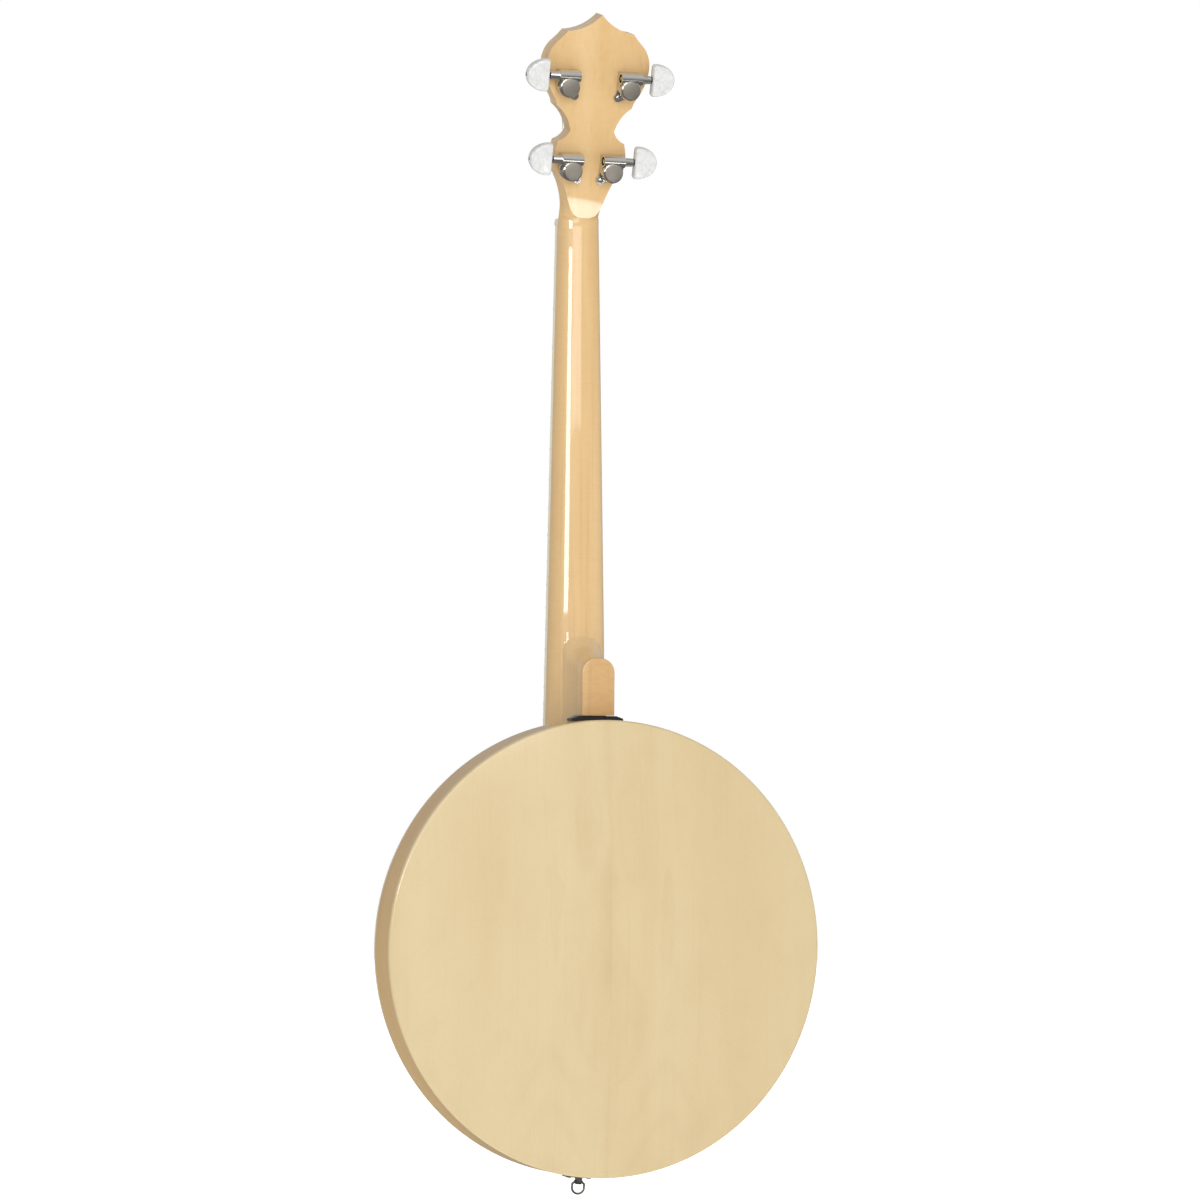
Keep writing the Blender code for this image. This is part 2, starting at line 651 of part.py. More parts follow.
def build_pot_rings():
    shoulder, base = -15.0, -24.0
    inner = RIM_RADIUS - RIM_WALL
    rim = [(inner, RIM_BACK), (RIM_RADIUS, RIM_BACK), (RIM_RADIUS, base - GAP), (136.2, base - GAP)]
    rim += [(136.2, shoulder), (inner, shoulder)]
    tone_ring = [(RIM_RADIUS, base), (RIM_RADIUS, -6.8), (138.7, -5.8), (123.0, -7.4), (121.6, -8.6)]
    tone_ring += [(121.6, shoulder + GAP), (136.5, shoulder + GAP), (136.5, base)]
    head = [(0.0, HEAD_PLANE), (139.2, HEAD_PLANE), (140.3, -5.6), (140.6, -6.6), (140.6, -15.6)]
    head += [(143.2, -15.6), (143.2, -18.6), (140.0, -18.6), (140.0, -6.7), (139.0, -5.5), (0.0, -5.5)]
    hoop = [(140.9, -15.3), (140.9, -6.8), (141.6, -6.0), (143.2, -6.0), (143.8, -6.6), (143.8, -9.8)]
    hoop += [(HOOP_RADIUS, -9.8), (HOOP_RADIUS, HOOP_BACK), (143.5, HOOP_BACK), (143.5, -15.3)]
    for name, profile, look in (
        ("rim", rim, MAPLE),
        ("tone_ring", tone_ring, BRONZE),
        ("head", head, COATED_HEAD),
        ("tension_hoop", hoop, NICKEL),
    ):
        place(name, mesh_from(turned(profile), name), look, (0, 0, POT_Z))


def hook_angles():
    step = math.tau / HOOK_COUNT
    return [step * (k + 0.5) for k in range(HOOK_COUNT)]


def build_flange():
    """Flat ring plate on the resonator's front edge, with holes for the hooks and slots between them."""
    low = RESONATOR_FRONT + GAP
    high = low + FLANGE_THICKNESS
    inner, outer = RIM_RADIUS + GAP, RESONATOR_RADIUS - 0.7
    profile = [(inner, low), (outer - 0.8, low), (outer, low + 0.8), (outer - 0.8, high), (inner, high)]
    flange = place("flange", mesh_from(turned(profile), "flange"), NICKEL, (0, 0, POT_Z))
    cuts = bmesh.new()
    for angle in hook_angles() + [math.pi]:
        x, z = HOOK_RADIUS * math.sin(angle), HOOK_RADIUS * math.cos(angle)
        rod((x, low - 2, z), (x, high + 2, z), HOOK_SHANK + GAP + 0.4, 6, cuts)
    for k in range(1, HOOK_COUNT):
        if k == HOOK_COUNT // 2:
            continue
        turn = Matrix.Rotation(-math.tau * k / HOOK_COUNT, 3, "Y")
        outline = [(5.0 * x + 2.2 * x * z, SLOT_RADIUS + 7.0 * z) for z, x in circle(1.0, 8)]
        loft([[turn @ Vector((x, y, z)) for x, z in outline] for y in (low - 2, high + 2)], bm=cuts)
    boolean(flange, cutter("flange_holes", cuts, (0, 0, POT_Z)))


def hook_rings():
    """One hook at the top of the pot: claw over the hoop, shank through the flange, nut behind it."""
    sides = 6
    claw_tip, claw_y, nut_top = 144.2, -7.5, RESONATOR_FRONT - 0.1
    rings = []
    bend, bend_steps = 3.0, 3
    path = [(claw_tip, claw_y, 0.0), (HOOK_RADIUS - bend, claw_y, 0.0)]
    for k in range(1, bend_steps + 1):
        a = math.pi / 2 * k / bend_steps
        path.append((HOOK_RADIUS - bend + bend * math.sin(a), claw_y - bend + bend * math.cos(a), a))
    for radius, y, turn in path:
        ring = []
        for x, w in circle(HOOK_SHANK, sides):
            offset_r, offset_y = w * math.sin(turn), w * math.cos(turn)
            ring.append((x, y + offset_y, radius + offset_r))
        rings.append(ring)
    nut_radius, step = 4.4, 0.01
    nut_base = nut_top - 14.0
    lower = [(nut_top, HOOK_SHANK), (nut_top - step, nut_radius), (nut_base, nut_radius)]
    lower += [(nut_base - step, HOOK_SHANK), (nut_base - 3.0, HOOK_SHANK)]
    for y, radius in lower:
        rings.append([(x, y, HOOK_RADIUS + w) for x, w in circle(radius, sides)])
    return rings


def build_hooks():
    mesh = mesh_from(loft(hook_rings()), "bracket_hook")
    mesh.materials.append(material("bracket_hook", NICKEL))
    for number, angle in enumerate(hook_angles(), 1):
        place(f"bracket_hook_{number:02d}", mesh, NICKEL, (0, 0, POT_Z), (0, angle, 0))


def build_resonator():
    wall = RESONATOR_RADIUS - RESONATOR_WALL
    seam = RESONATOR_RIM_BACK + RESONATOR_PLATE
    side = [(wall, seam + GAP), (RESONATOR_RADIUS, seam + GAP), (RESONATOR_RADIUS, RESONATOR_FRONT)]
    side += [(wall, RESONATOR_FRONT)]
    place("resonator_side", mesh_from(turned(side), "resonator_side"), MAPLE_SIDE, (0, 0, POT_Z))

    def dome(radius, edge):
        return edge - RESONATOR_DOME * (1.0 - (radius / RESONATOR_RADIUS) ** 2)

    radii = (0.0, 55.0, 100.0, 138.0, wall - 2.0)
    outside = [(r, dome(r, RESONATOR_RIM_BACK)) for r in radii]
    edge = 0.9
    outside.append((RESONATOR_RADIUS - edge, RESONATOR_RIM_BACK + 0.1))
    outside.append((RESONATOR_RADIUS, RESONATOR_RIM_BACK + edge))
    inside = [(RESONATOR_RADIUS, seam), (wall - 1.0, seam)]
    inside += [(r, dome(r, seam)) for r in reversed(radii[:-1])]
    back = turned(outside + inside)
    place("resonator_back", mesh_from(back, "resonator_back", 20.0), MAPLE_PALE, (0, 0, POT_Z))


def build_coordinator_rod():
    """Steel rod across the inside of the rim, with a shouldered nut at each end."""
    reach = RIM_RADIUS - RIM_WALL - GAP - 0.2
    y = -45.0
    washer, nut = -reach + 2.0, -reach + 12.0
    profile = [(-reach, 8.0), (washer, 8.0), (washer, 6.4), (nut, 6.4), (nut, 4.76)]
    profile += [(-z, radius) for z, radius in reversed(profile)]
    rings = [[(x, y + w, z) for x, w in circle(radius, 16)] for z, radius in profile]
    place("coordinator_rod", mesh_from(loft(rings), "coordinator_rod"), STEEL, (0, 0, POT_Z))


def build_bridge():
    """Three-footed bridge, thin at the top."""
    foot = HEAD_PLANE + GAP
    half = BRIDGE_HALF_LENGTH
    right = [(5.0, foot)] + arc((5.0, foot), (24.0, foot), 6.0, 6) + [(half, foot), (half, foot + 5.0)]
    right += arc((half, foot + 5.0), (26.0, BRIDGE_TOP), 1.5, 3)
    outline = right + [(-x, y) for x, y in reversed(right)]
    half_base, half_top = 3.6, 1.2
    rings = []
    for side in (-1, 1):
        ring = []
        for x, y in outline:
            rise = (y - foot) / (BRIDGE_TOP - foot)
            ring.append((x, y, BRIDGE_Z + side * (half_base + (half_top - half_base) * rise)))
        rings.append(ring)
    place("bridge", mesh_from(loft(rings), "bridge"), MAPLE_PALE)


def build_tailpiece():
    """Formed plate from the hoop towards the bridge, and its long hanger bolt."""
    hoop_z = POT_Z - 143.0
    half_thickness = 0.7
    stations = [(hoop_z - 6.0, -3.4, 11.0), (hoop_z + 2.0, -2.0, 16.0), (hoop_z + 16.0, 1.5, 18.0)]
    stations += [(TAILPIECE_TIP_Z - 10.0, 4.6, 17.0), (TAILPIECE_TIP_Z - 1.0, 5.6, 16.5)]
    stations += [(TAILPIECE_TIP_Z, 3.4, 16.3), (TAILPIECE_TIP_Z, -0.5, 16.0)]
    rings = []
    for index, (z, y, half) in enumerate(stations):
        near = Vector(stations[max(0, index - 1)][:2])
        far = Vector(stations[min(len(stations) - 1, index + 1)][:2])
        run = (far - near).normalized()
        z_off, y_off = -run.y * half_thickness, run.x * half_thickness
        top = [(-half, y + y_off, z + z_off), (half, y + y_off, z + z_off)]
        rings.append(top + [(half, y - y_off, z - z_off), (-half, y - y_off, z - z_off)])
    place("tailpiece", mesh_from(loft(rings), "tailpiece"), NICKEL)
    sides = 12
    bend = [(144.3, -7.6, 0.0), (146.8, -7.6, 0.1), (149.6, -8.8, 0.9), (HOOK_RADIUS, -12.0, math.pi / 2)]
    rings = []
    for radius, y, turn in bend:
        ring = []
        for x, w in circle(HOOK_SHANK, sides):
            ring.append((x, y + w * math.cos(turn), POT_Z - radius - w * math.sin(turn)))
        rings.append(ring)
    nut_top, nut_base, nut_radius = -39.7, -44.0, 5.0
    lower = [(nut_top + 0.1, HOOK_SHANK), (nut_top, nut_radius), (nut_base, nut_radius)]
    lower += [(nut_base - 0.1, HOOK_SHANK), (nut_base - 3.0, HOOK_SHANK)]
    for y, radius in lower:
        rings.append([(x, y, POT_Z - HOOK_RADIUS - w) for x, w in circle(radius, sides)])
    place("tailpiece_hanger", mesh_from(loft(rings), "tailpiece_hanger"), NICKEL)


def build_armrest():
    """Curved rest over the hoop and the head's edge, on the bass side."""
    middle = math.radians(120.0)
    span = math.radians(44.0)
    thickness = 1.3
    line = [(154.6, -14.0), (154.4, -8.0), (152.6, -2.5), (148.5, 1.2), (143.0, 2.6), (136.0, 2.4)]
    line += [(130.0, 0.9)]
    inner = []
    for index, (r, y) in enumerate(line):
        before = Vector(line[max(0, index - 1)])
        after = Vector(line[min(len(line) - 1, index + 1)])
        run = (after - before).normalized()
        inner.append((r - run.y * thickness, y + run.x * thickness))
    bm = turned(line + inner[::-1], 16, span, middle - span / 2 - math.pi / 2)
    place("armrest", mesh_from(bm, "armrest"), NICKEL, (0, 0, POT_Z))


def build_strap_fitting():
    """Curved plate with a raised loop on the resonator's side, and a wire ring that swings in the loop."""
    turn = math.pi + STRAP_ANGLE
    anchor = bpy.data.objects.new("strap_anchor", None)
    bpy.context.scene.collection.objects.link(anchor)
    anchor.location = Vector((0, 0, POT_Z)) * MM
    anchor.rotation_euler = (0, turn, 0)
    inner = RESONATOR_RADIUS + GAP
    outer = inner + 1.2
    section = []
    steps = 8
    for radius, order in ((inner, 1), (outer, -1)):
        for k in range(steps + 1):
            a = order * (STRAP_PLATE_HALF_LENGTH / inner) * (2.0 * k / steps - 1.0)
            section.append((radius * math.sin(a), radius * math.cos(a)))
    plate_edges = (STRAP_Y - STRAP_PLATE_HALF_WIDTH, STRAP_Y + STRAP_PLATE_HALF_WIDTH)
    rings = [[(x, y, z) for x, z in section] for y in plate_edges]
    plate = place("strap_plate", mesh_from(loft(rings), "strap_plate"), NICKEL, parent=anchor)
    bar = outer + STRAP_RING_STAND
    loop_radius, loop_half_width = 2.3, 2.2
    hoop = []
    for k in range(steps + 1):
        a = math.pi * k / steps
        hoop.append((math.cos(a) * loop_radius, bar + math.sin(a) * loop_radius))
    hoop += [(-loop_radius, outer - 0.6), (loop_radius, outer - 0.6)]
    rings = [[(x, STRAP_Y + y, z) for y, z in hoop] for x in (-loop_half_width, loop_half_width)]
    boolean(plate, cutter("strap_loop", loft(rings), parent=anchor), "UNION")
    room = rod((-4, STRAP_Y, bar), (4, STRAP_Y, bar), STRAP_RING_WIRE + 0.35, 12)
    boolean(plate, cutter("strap_loop_bore", room, parent=anchor))
    half, drop, corner = 4.8, 9.5, 1.6
    path = [(-half + corner, 0.0), (half - corner, 0.0)]
    path += arc(path[-1], (half, corner), 0.45, 3)
    for k in range(1, steps):
        a = math.pi * k / steps
        path.append((half * math.cos(a), drop - half + half * math.sin(a) * 0.95))
    path += [(-half, corner)]
    path += arc(path[-1], (-half + corner, 0.0), 0.45, 3)[:-1]
    count = len(path)
    rings = []
    for index in range(count):
        before, after = Vector(path[index - 1]), Vector(path[(index + 1) % count])
        run = (after - before).normalized()
        normal = Vector((-run.y, run.x))
        ring = []
        for u, v in circle(STRAP_RING_WIRE, 8):
            x, drop_z = Vector(path[index]) + normal * u
            ring.append((x, v, drop_z))
        rings.append(ring)
    bm = loft(rings + rings[:1], closed_ends=False)
    bmesh.ops.remove_doubles(bm, verts=bm.verts, dist=1e-4)
    ring = place("strap_ring", mesh_from(bm, "strap_ring"), STEEL, parent=anchor)
    ring.location = Vector((0, STRAP_Y, bar)) * MM


def build():
    clear_scene()
    build_neck()
    build_heel_trim()
    build_truss_rod()
    build_fretboard()
    build_nut()
    build_truss_rod_cover()
    build_tuners()
    build_strings()
    build_pot_rings()
    build_flange()
    build_hooks()
    build_resonator()
    build_coordinator_rod()
    build_bridge()
    build_tailpiece()
    build_armrest()
    build_strap_fitting()


build()
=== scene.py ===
"""Looks of the four-string resonator banjo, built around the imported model.

Shapes are in millimetres and become metres when a mesh is made; places in materials are in metres. The frame
is the CAD's: origin at the nut on the glue plane, +X right seen from the back, +Y towards the strings, +Z up.
"""

import math

import bmesh
import bpy
from mathutils import Matrix, Vector


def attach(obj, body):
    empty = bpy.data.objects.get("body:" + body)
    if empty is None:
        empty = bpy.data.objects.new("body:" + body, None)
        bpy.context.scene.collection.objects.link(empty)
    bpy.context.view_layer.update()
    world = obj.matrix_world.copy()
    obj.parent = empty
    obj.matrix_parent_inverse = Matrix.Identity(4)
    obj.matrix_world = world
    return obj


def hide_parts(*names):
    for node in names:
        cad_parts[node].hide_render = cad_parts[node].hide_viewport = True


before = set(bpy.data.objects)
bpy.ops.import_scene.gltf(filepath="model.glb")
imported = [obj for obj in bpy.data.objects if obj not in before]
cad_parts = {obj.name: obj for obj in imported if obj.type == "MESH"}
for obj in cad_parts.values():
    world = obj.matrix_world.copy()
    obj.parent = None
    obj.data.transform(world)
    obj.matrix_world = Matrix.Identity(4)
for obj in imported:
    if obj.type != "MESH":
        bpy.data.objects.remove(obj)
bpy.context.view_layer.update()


# ---------------------------------------------------------------- camera

CAMERA_AT = (-1.445, -3.937, -0.392)
CAMERA_YAW = math.radians(20.42)
CAMERA_PITCH = math.radians(-1.45)
CAMERA_ROLL = math.radians(0.37)
CAMERA_LENS = 165.0
SENSOR_WIDTH = 36.0


def add_object(name, data):
    obj = bpy.data.objects.new(name, data)
    bpy.context.scene.collection.objects.link(obj)
    return obj


def make_camera():
    """A long lens behind the instrument and a little to its left, level with the pot."""
    data = bpy.data.cameras.new("camera")
    data.lens = CAMERA_LENS
    data.sensor_width = SENSOR_WIDTH
    camera = add_object("camera", data)
    heading = Matrix.Rotation(-CAMERA_YAW, 4, "Z")
    tilt = Matrix.Rotation(math.pi / 2 - CAMERA_PITCH, 4, "X")
    roll = Matrix.Rotation(CAMERA_ROLL, 4, "Z")
    camera.matrix_world = Matrix.Translation(CAMERA_AT) @ heading @ tilt @ roll
    bpy.context.scene.camera = camera


make_camera()
bpy.context.scene.view_settings.view_transform = "Standard"


# ---------------------------------------------------------------- dimensions shared with the CAD

MM = 0.001
MAIN = "banjo"
POT_Z = -549.0
HEAD_ANGLE = math.radians(14.0)
HEAD_THICKNESS = 14.5
HEAD_PLANE = -5.0
RESONATOR_RADIUS = 171.5
RESONATOR_BACK = -75.0
RESONATOR_DOME = 11.4
HOOK_COUNT = 18
HOOK_RADIUS = 150.5
HOOK_NUT_TOP = -39.65
HEEL_END = -374.2
HEEL_CAP_FACE = -54.0
NUT_HALF_WIDTH = 16.0
HALF_WIDTH_SLOPE = 0.0191
SCALE_LENGTH = 584.0
FRETS = 19
FRETBOARD_LENGTH = 410.0
FRETBOARD_TOP = 5.0
NUT_SPREAD = 11.5
BRIDGE_SPREAD = 19.5
TAILPIECE_SPREAD = 13.5
LOWER_POSTS = (16.4, 45.0)
UPPER_POSTS = (24.5, 108.5)
TUNERS = {1: (-1, LOWER_POSTS), 2: (-1, UPPER_POSTS), 3: (1, UPPER_POSTS), 4: (1, LOWER_POSTS)}
WORM_OFFSET = 8.3
WORM_HEIGHT = 7.0
POST_RADIUS = 3.0
BRIDGE_Z = -SCALE_LENGTH
BRIDGE_TOP = 11.0
TAILPIECE_TIP_Z = -640.0
STRAP_Y = -50.0


# ---------------------------------------------------------------- node building blocks

class Nodes:
    """Short calls that add nodes to a tree."""

    def __init__(self, tree):
        self.tree = tree

    def put(self, socket, value):
        if isinstance(value, bpy.types.NodeSocket):
            self.tree.links.new(value, socket)
        elif isinstance(value, tuple) and len(value) == 3 and len(socket.default_value) == 4:
            socket.default_value = (*value, 1.0)
        else:
            socket.default_value = value

    def add(self, kind, sockets=(), **settings):
        """A new node with its settings and, by name or number, its sockets."""
        node = self.tree.nodes.new(kind)
        for key, value in settings.items():
            setattr(node, key, value)
        for key, value in dict(sockets).items():
            self.put(node.inputs[key], value)
        return node

    def math(self, operation, a, b=0.0, c=0.0):
        return self.add("ShaderNodeMath", {0: a, 1: b, 2: c}, operation=operation).outputs[0]

    def times(self, a, b):
        return self.math("MULTIPLY", a, b)

    def minus(self, a, b):
        return self.math("SUBTRACT", a, b)

    def size(self, a):
        return self.math("ABSOLUTE", a)

    def length(self, a, b):
        squares = self.math("ADD", self.math("POWER", a, 2.0), self.math("POWER", b, 2.0))
        return self.math("SQRT", squares)

    def ramp(self, value, low, high, to_low=0.0, to_high=1.0):
        """A smooth step from to_low, where value is low, to to_high, where it is high."""
        sockets = {"Value": value, "From Min": low, "From Max": high, "To Min": to_low, "To Max": to_high}
        return self.add("ShaderNodeMapRange", sockets, interpolation_type="SMOOTHSTEP").outputs[0]

    def split(self, vector):
        return self.add("ShaderNodeSeparateXYZ", {0: vector}).outputs

    def join(self, x, y, z):
        return self.add("ShaderNodeCombineXYZ", {0: x, 1: y, 2: z}).outputs[0]


class Look(Nodes):
    """A Principled material whose tone is built up in layers."""

    def __init__(self, name, colour, roughness, metallic=0.0, **fixed):
        self.material = bpy.data.materials.new(name)
        self.material.use_nodes = True
        super().__init__(self.material.node_tree)
        self.shader = self.tree.nodes["Principled BSDF"]
        self.set(base_color=colour, roughness=roughness, metallic=metallic, **fixed)
        self.tone = colour
        self.place = self.add("ShaderNodeTexCoord").outputs["Object"]

    def set(self, **values):
        for key, value in values.items():
            self.put(self.shader.inputs[key.replace("_", " ").title().replace("Ior", "IOR")], value)

    def scaled(self, scale, vector=None, shift=(0, 0, 0)):
        """The place, or another vector, with a scale per axis or one for all three."""
        scale = scale if isinstance(scale, tuple) else (scale, scale, scale)
        sockets = {"Vector": vector or self.place, "Scale": scale, "Location": shift}
        return self.add("ShaderNodeMapping", sockets).outputs[0]

    def noise(self, scale, detail=3.0, roughness=0.5, distortion=0.0, vector=None, shift=(0, 0, 0)):
        sockets = {"Vector": self.scaled(scale, vector, shift), "Scale": 1.0, "Detail": detail}
        sockets.update({"Roughness": roughness, "Distortion": distortion})
        return self.add("ShaderNodeTexNoise", sockets).outputs["Fac"]

    def cover(self, share, shade):
        """Lays a share of shade over the tone so far."""
        mix = self.add("ShaderNodeMix", {0: share, 6: self.tone, 7: shade}, data_type="RGBA")
        self.tone = mix.outputs[2]

    def stain(self, value, low, high, amount, shade):
        """Lays shade over the tone so far, by nothing where value is low and amount where it is high."""
        self.cover(self.ramp(value, low, high, 0.0, amount), shade)

    def done(self, height, strength, distance, roughness=None):
        """Uses the tone, a bump and, where it varies, a roughness; returns the material."""
        bump = self.add("ShaderNodeBump", {"Height": height, "Strength": strength, "Distance": distance})
        self.set(base_color=self.tone, normal=bump.outputs[0])
        if roughness:
            self.set(roughness=roughness)
        return self.material


# ---------------------------------------------------------------- floor and light

FLOOR_Z = -0.80
FLOOR_RADIUS = 6.0
FLOOR_GLOW = 0.8
FLOOR_WHITE = (0.85, 0.85, 0.85)
WHITE = (1.0, 1.0, 1.0)
WORLD_BEHIND = 0.45
WORLD_FRONT = 0.55
WORLD_BELOW = 0.35
WORLD_OVERHEAD = 1.25
PANEL_SPREAD = math.radians(32)
AREA_LIGHTS = {
    "key_softbox": {
        "at": (-0.25, -1.85, 0.45), "towards": (0, 0, -0.3), "size": (1.5, 0.9), "power": 14.0,
        "colour": (1.0, 0.99, 0.97),
    },
    "strip_light": {
        "at": (-1.40, -1.43, 0.03), "towards": (0, 0, -0.1), "size": (0.80, 0.44), "power": 15.0,
        "colour": WHITE,
    },
    "headstock_panel": {
        "at": (0.1688, -0.4390, -0.1767), "towards": (0, -0.0175, 0.004), "size": (0.085, 0.045),
        "power": 0.0028, "colour": WHITE,
    },
}


def make_surroundings():
    """White behind the object; what lights it is brighter in front and overhead than behind."""
    world = bpy.data.worlds.new("studio")
    bpy.context.scene.world = world
    world.use_nodes = True
    nodes = Nodes(world.node_tree)
    x, y, z = nodes.split(nodes.add("ShaderNodeTexCoord").outputs["Generated"])
    across = nodes.ramp(y, 0.3, -0.8, WORLD_BEHIND, WORLD_FRONT)
    height = nodes.ramp(z, -0.5, 0.7, WORLD_BELOW, WORLD_OVERHEAD)
    to_camera = nodes.add("ShaderNodeLightPath").outputs["Is Camera Ray"]
    sockets = {0: to_camera, 2: nodes.times(across, height), 3: 1.0}
    seen = nodes.add("ShaderNodeMix", sockets, data_type="FLOAT")
    background = world.node_tree.nodes["Background"]
    nodes.put(background.inputs["Color"], WHITE)
    nodes.put(background.inputs["Strength"], seen.outputs[0])


def make_floor():
    """A white floor just below the instrument, bright enough to run into the background."""
    bm = bmesh.new()
    bmesh.ops.create_circle(bm, cap_ends=True, radius=FLOOR_RADIUS, segments=96)
    mesh = bpy.data.meshes.new("floor")
    bm.to_mesh(mesh)
    bm.free()
    floor = add_object("floor", mesh)
    floor.location = (0, 0, FLOOR_Z)
    look = Look("floor_white", FLOOR_WHITE, 0.9, emission_color=WHITE, emission_strength=FLOOR_GLOW)
    mesh.materials.append(look.material)
    floor.visible_glossy = False


def make_lights():
    """A soft key above the camera, a strip for the neck's highlight and a panel for the headstock's."""
    for name, settings in AREA_LIGHTS.items():
        data = bpy.data.lights.new(name, "AREA")
        data.shape = "RECTANGLE"
        data.size, data.size_y = settings["size"]
        data.energy = settings["power"]
        data.color = settings["colour"]
        light = add_object(name, data)
        light.location = settings["at"]
        aim = Vector(settings["towards"]) - Vector(settings["at"])
        light.rotation_euler = aim.to_track_quat("-Z", "Y").to_euler()
        light.visible_camera = False
        light.visible_diffuse = name == "key_softbox"
    bpy.data.lights["headstock_panel"].spread = PANEL_SPREAD


make_surroundings()
make_floor()
make_lights()


# ---------------------------------------------------------------- materials

def darker(colour, factor):
    return tuple(c * factor for c in colour)


def wood_grain(look, colours, streak, fleck, vector=None):
    """Grain with its fibres along z: broad tone, fine lines, which it returns, and short ray flecks."""
    light, mid, dark = colours
    look.tone = light
    look.stain(look.noise((26, 26, 3.2), 3.0, 0.55, 0.6, vector), 0.3, 0.7, 1.0, mid)
    lines = look.noise((330, 330, 5.5), 5.0, 0.6, vector=vector)
    look.stain(lines, 0.5, 0.74, streak, dark)
    look.stain(look.noise((1500, 1500, 190), 2.0, 0.6, vector=vector), 0.62, 0.78, fleck, dark)
    return lines


def maple(name, colours, ripple=0.0, coat=1.0, coat_roughness=0.04, roughness=0.42):
    """Lacquered maple with its grain along z; ripple adds the curl across the grain."""
    light, mid, dark = colours
    coating = {"coat_weight": coat, "coat_roughness": coat_roughness}
    look = Look(name, mid, roughness, **coating, specular_ior_level=0.35)
    lines = wood_grain(look, colours, 0.22, 0.10)
    mineral = look.noise((190, 190, 11), 3.0, 0.7, 0.3, shift=(3.1, 0.7, 0.4))
    look.stain(mineral, 0.68, 0.80, 0.45, dark)
    if ripple:
        look.stain(look.noise((75, 75, 300), 3.0, 0.6, 1.5), 0.40, 0.66, ripple, dark)
    return look.done(lines, 0.05, 0.0003, look.ramp(lines, 0.3, 0.8, roughness - 0.05, roughness + 0.08))


def bookmatched_back(name, colours):
    """Two mirrored halves of pale maple veneer under lacquer, with the seam on the centre line.

    The figure is what a tangent cut shows: soft narrow ovals and a drop-shaped ring beside the seam, and
    cathedral peaks below them, each a faint warm band round a shape given by its height and width.
    """
    light, mid, dark = colours
    look = Look(name, mid, 0.40, coat_weight=0.8, coat_roughness=0.16, specular_ior_level=0.4)
    pot = POT_Z * MM
    x, y, z = look.split(look.place)
    right = look.math("GREATER_THAN", x, 0.0)
    u = look.size(x)
    z = look.math("MULTIPLY_ADD", right, 0.009, z)
    grain = look.join(u, look.times(right, 0.4), z)
    look.tone = light
    look.stain(look.noise((17, 17, 2.4), 3.0, 0.5, 0.6, grain), 0.3, 0.7, 1.0, mid)
    look.stain(look.noise((420, 420, 6.0), 4.0, 0.6, vector=grain), 0.5, 0.78, 0.13, dark)
    speckle = look.noise((1050, 1050, 620), 2.0, 0.6)
    look.stain(speckle, 0.42, 0.72, 0.10, dark)
    look.stain(look.noise((42, 42, 30), 3.0, 0.6), 0.45, 0.75, 0.10, dark)
    sway = look.noise((34, 34, 17), 4.0, 0.65, 0.8, grain)
    warped = look.math("MULTIPLY_ADD", sway, 0.024, look.minus(u, 0.012))

    for centre_u, rise, half_u, half_z in ((0.018, 0.100, 0.0095, 0.034), (0.045, 0.030, 0.0045, 0.032)):
        du = look.math("DIVIDE", look.minus(warped, centre_u), half_u)
        dz = look.math("DIVIDE", look.minus(z, pot + rise), half_z)
        radius = look.length(du, dz)
        look.stain(look.size(look.minus(radius, 1.0)), 0.55, 0.0, 0.11, dark)
        look.stain(radius, 1.1, 0.3, 0.10, dark)

    drop_top, drop_bottom = pot + 0.032, pot - 0.092
    down = look.math("DIVIDE", look.minus(drop_top, z), drop_top - drop_bottom)
    down = look.math("MINIMUM", look.math("MAXIMUM", down, 0.0), 1.0)
    belly = look.times(look.math("POWER", down, 1.15), look.math("SQRT", look.minus(1.0, down)))
    to_edge = look.math("MULTIPLY_ADD", belly, 0.066, look.times(warped, -1.0))
    look.stain(look.size(to_edge), 0.008, 0.0, 0.10, dark)
    look.stain(to_edge, -0.003, 0.014, 0.10, dark)

    reach = look.size(look.minus(warped, 0.046))
    soft = look.math("SQRT", look.math("MULTIPLY_ADD", reach, reach, 0.00003))
    for top in (pot - 0.066, pot - 0.105, pot - 0.150):
        run = look.math("MULTIPLY_ADD", soft, 1.9, look.minus(z, top))
        band = look.ramp(look.size(run), 0.014, 0.0)
        look.cover(look.times(band, look.ramp(reach, 0.045, 0.010, 0.0, 0.09)), dark)

    # Painted shadow: a dark band beside the seam on the left half, a little above the pot's middle, darkest
    # at the seam.
    shadow_band = look.ramp(look.size(look.minus(z, pot + 0.02)), 0.07, 0.03)
    left_shadow_band = look.times(shadow_band, look.minus(1.0, right))
    look.cover(look.times(look.ramp(u, 0.016, 0.0, 0.0, 0.22), left_shadow_band), dark)
    # Darker towards the bottom of the right half: partly the right veneer half's own tone, partly painted
    # shade where the light on the back falls off to the right and the bottom.
    look.cover(look.times(look.ramp(z, pot - 0.05, pot - 0.16, 0.0, 0.14), right), (0.60, 0.44, 0.22))
    look.stain(u, 0.00045, 0.00012, 0.10, dark)
    return look.done(look.noise(500, 2.0), 0.03, 0.0003, look.ramp(speckle, 0.3, 0.8, 0.36, 0.46))


def bent_maple(name, colours):
    """Veneer bent round the resonator's wall: the grain runs along the circumference."""
    look = Look(name, colours[1], 0.40, coat_weight=0.55, coat_roughness=0.06, specular_ior_level=0.25)
    x, y, z = look.split(look.place)
    angle = look.math("ARCTAN2", x, look.math("ADD", z, -POT_Z * MM))
    grain = look.join(y, 0.0, look.times(angle, RESONATOR_RADIUS * MM))
    return look.done(wood_grain(look, colours, 0.4, 0.35, grain), 0.04, 0.0003)


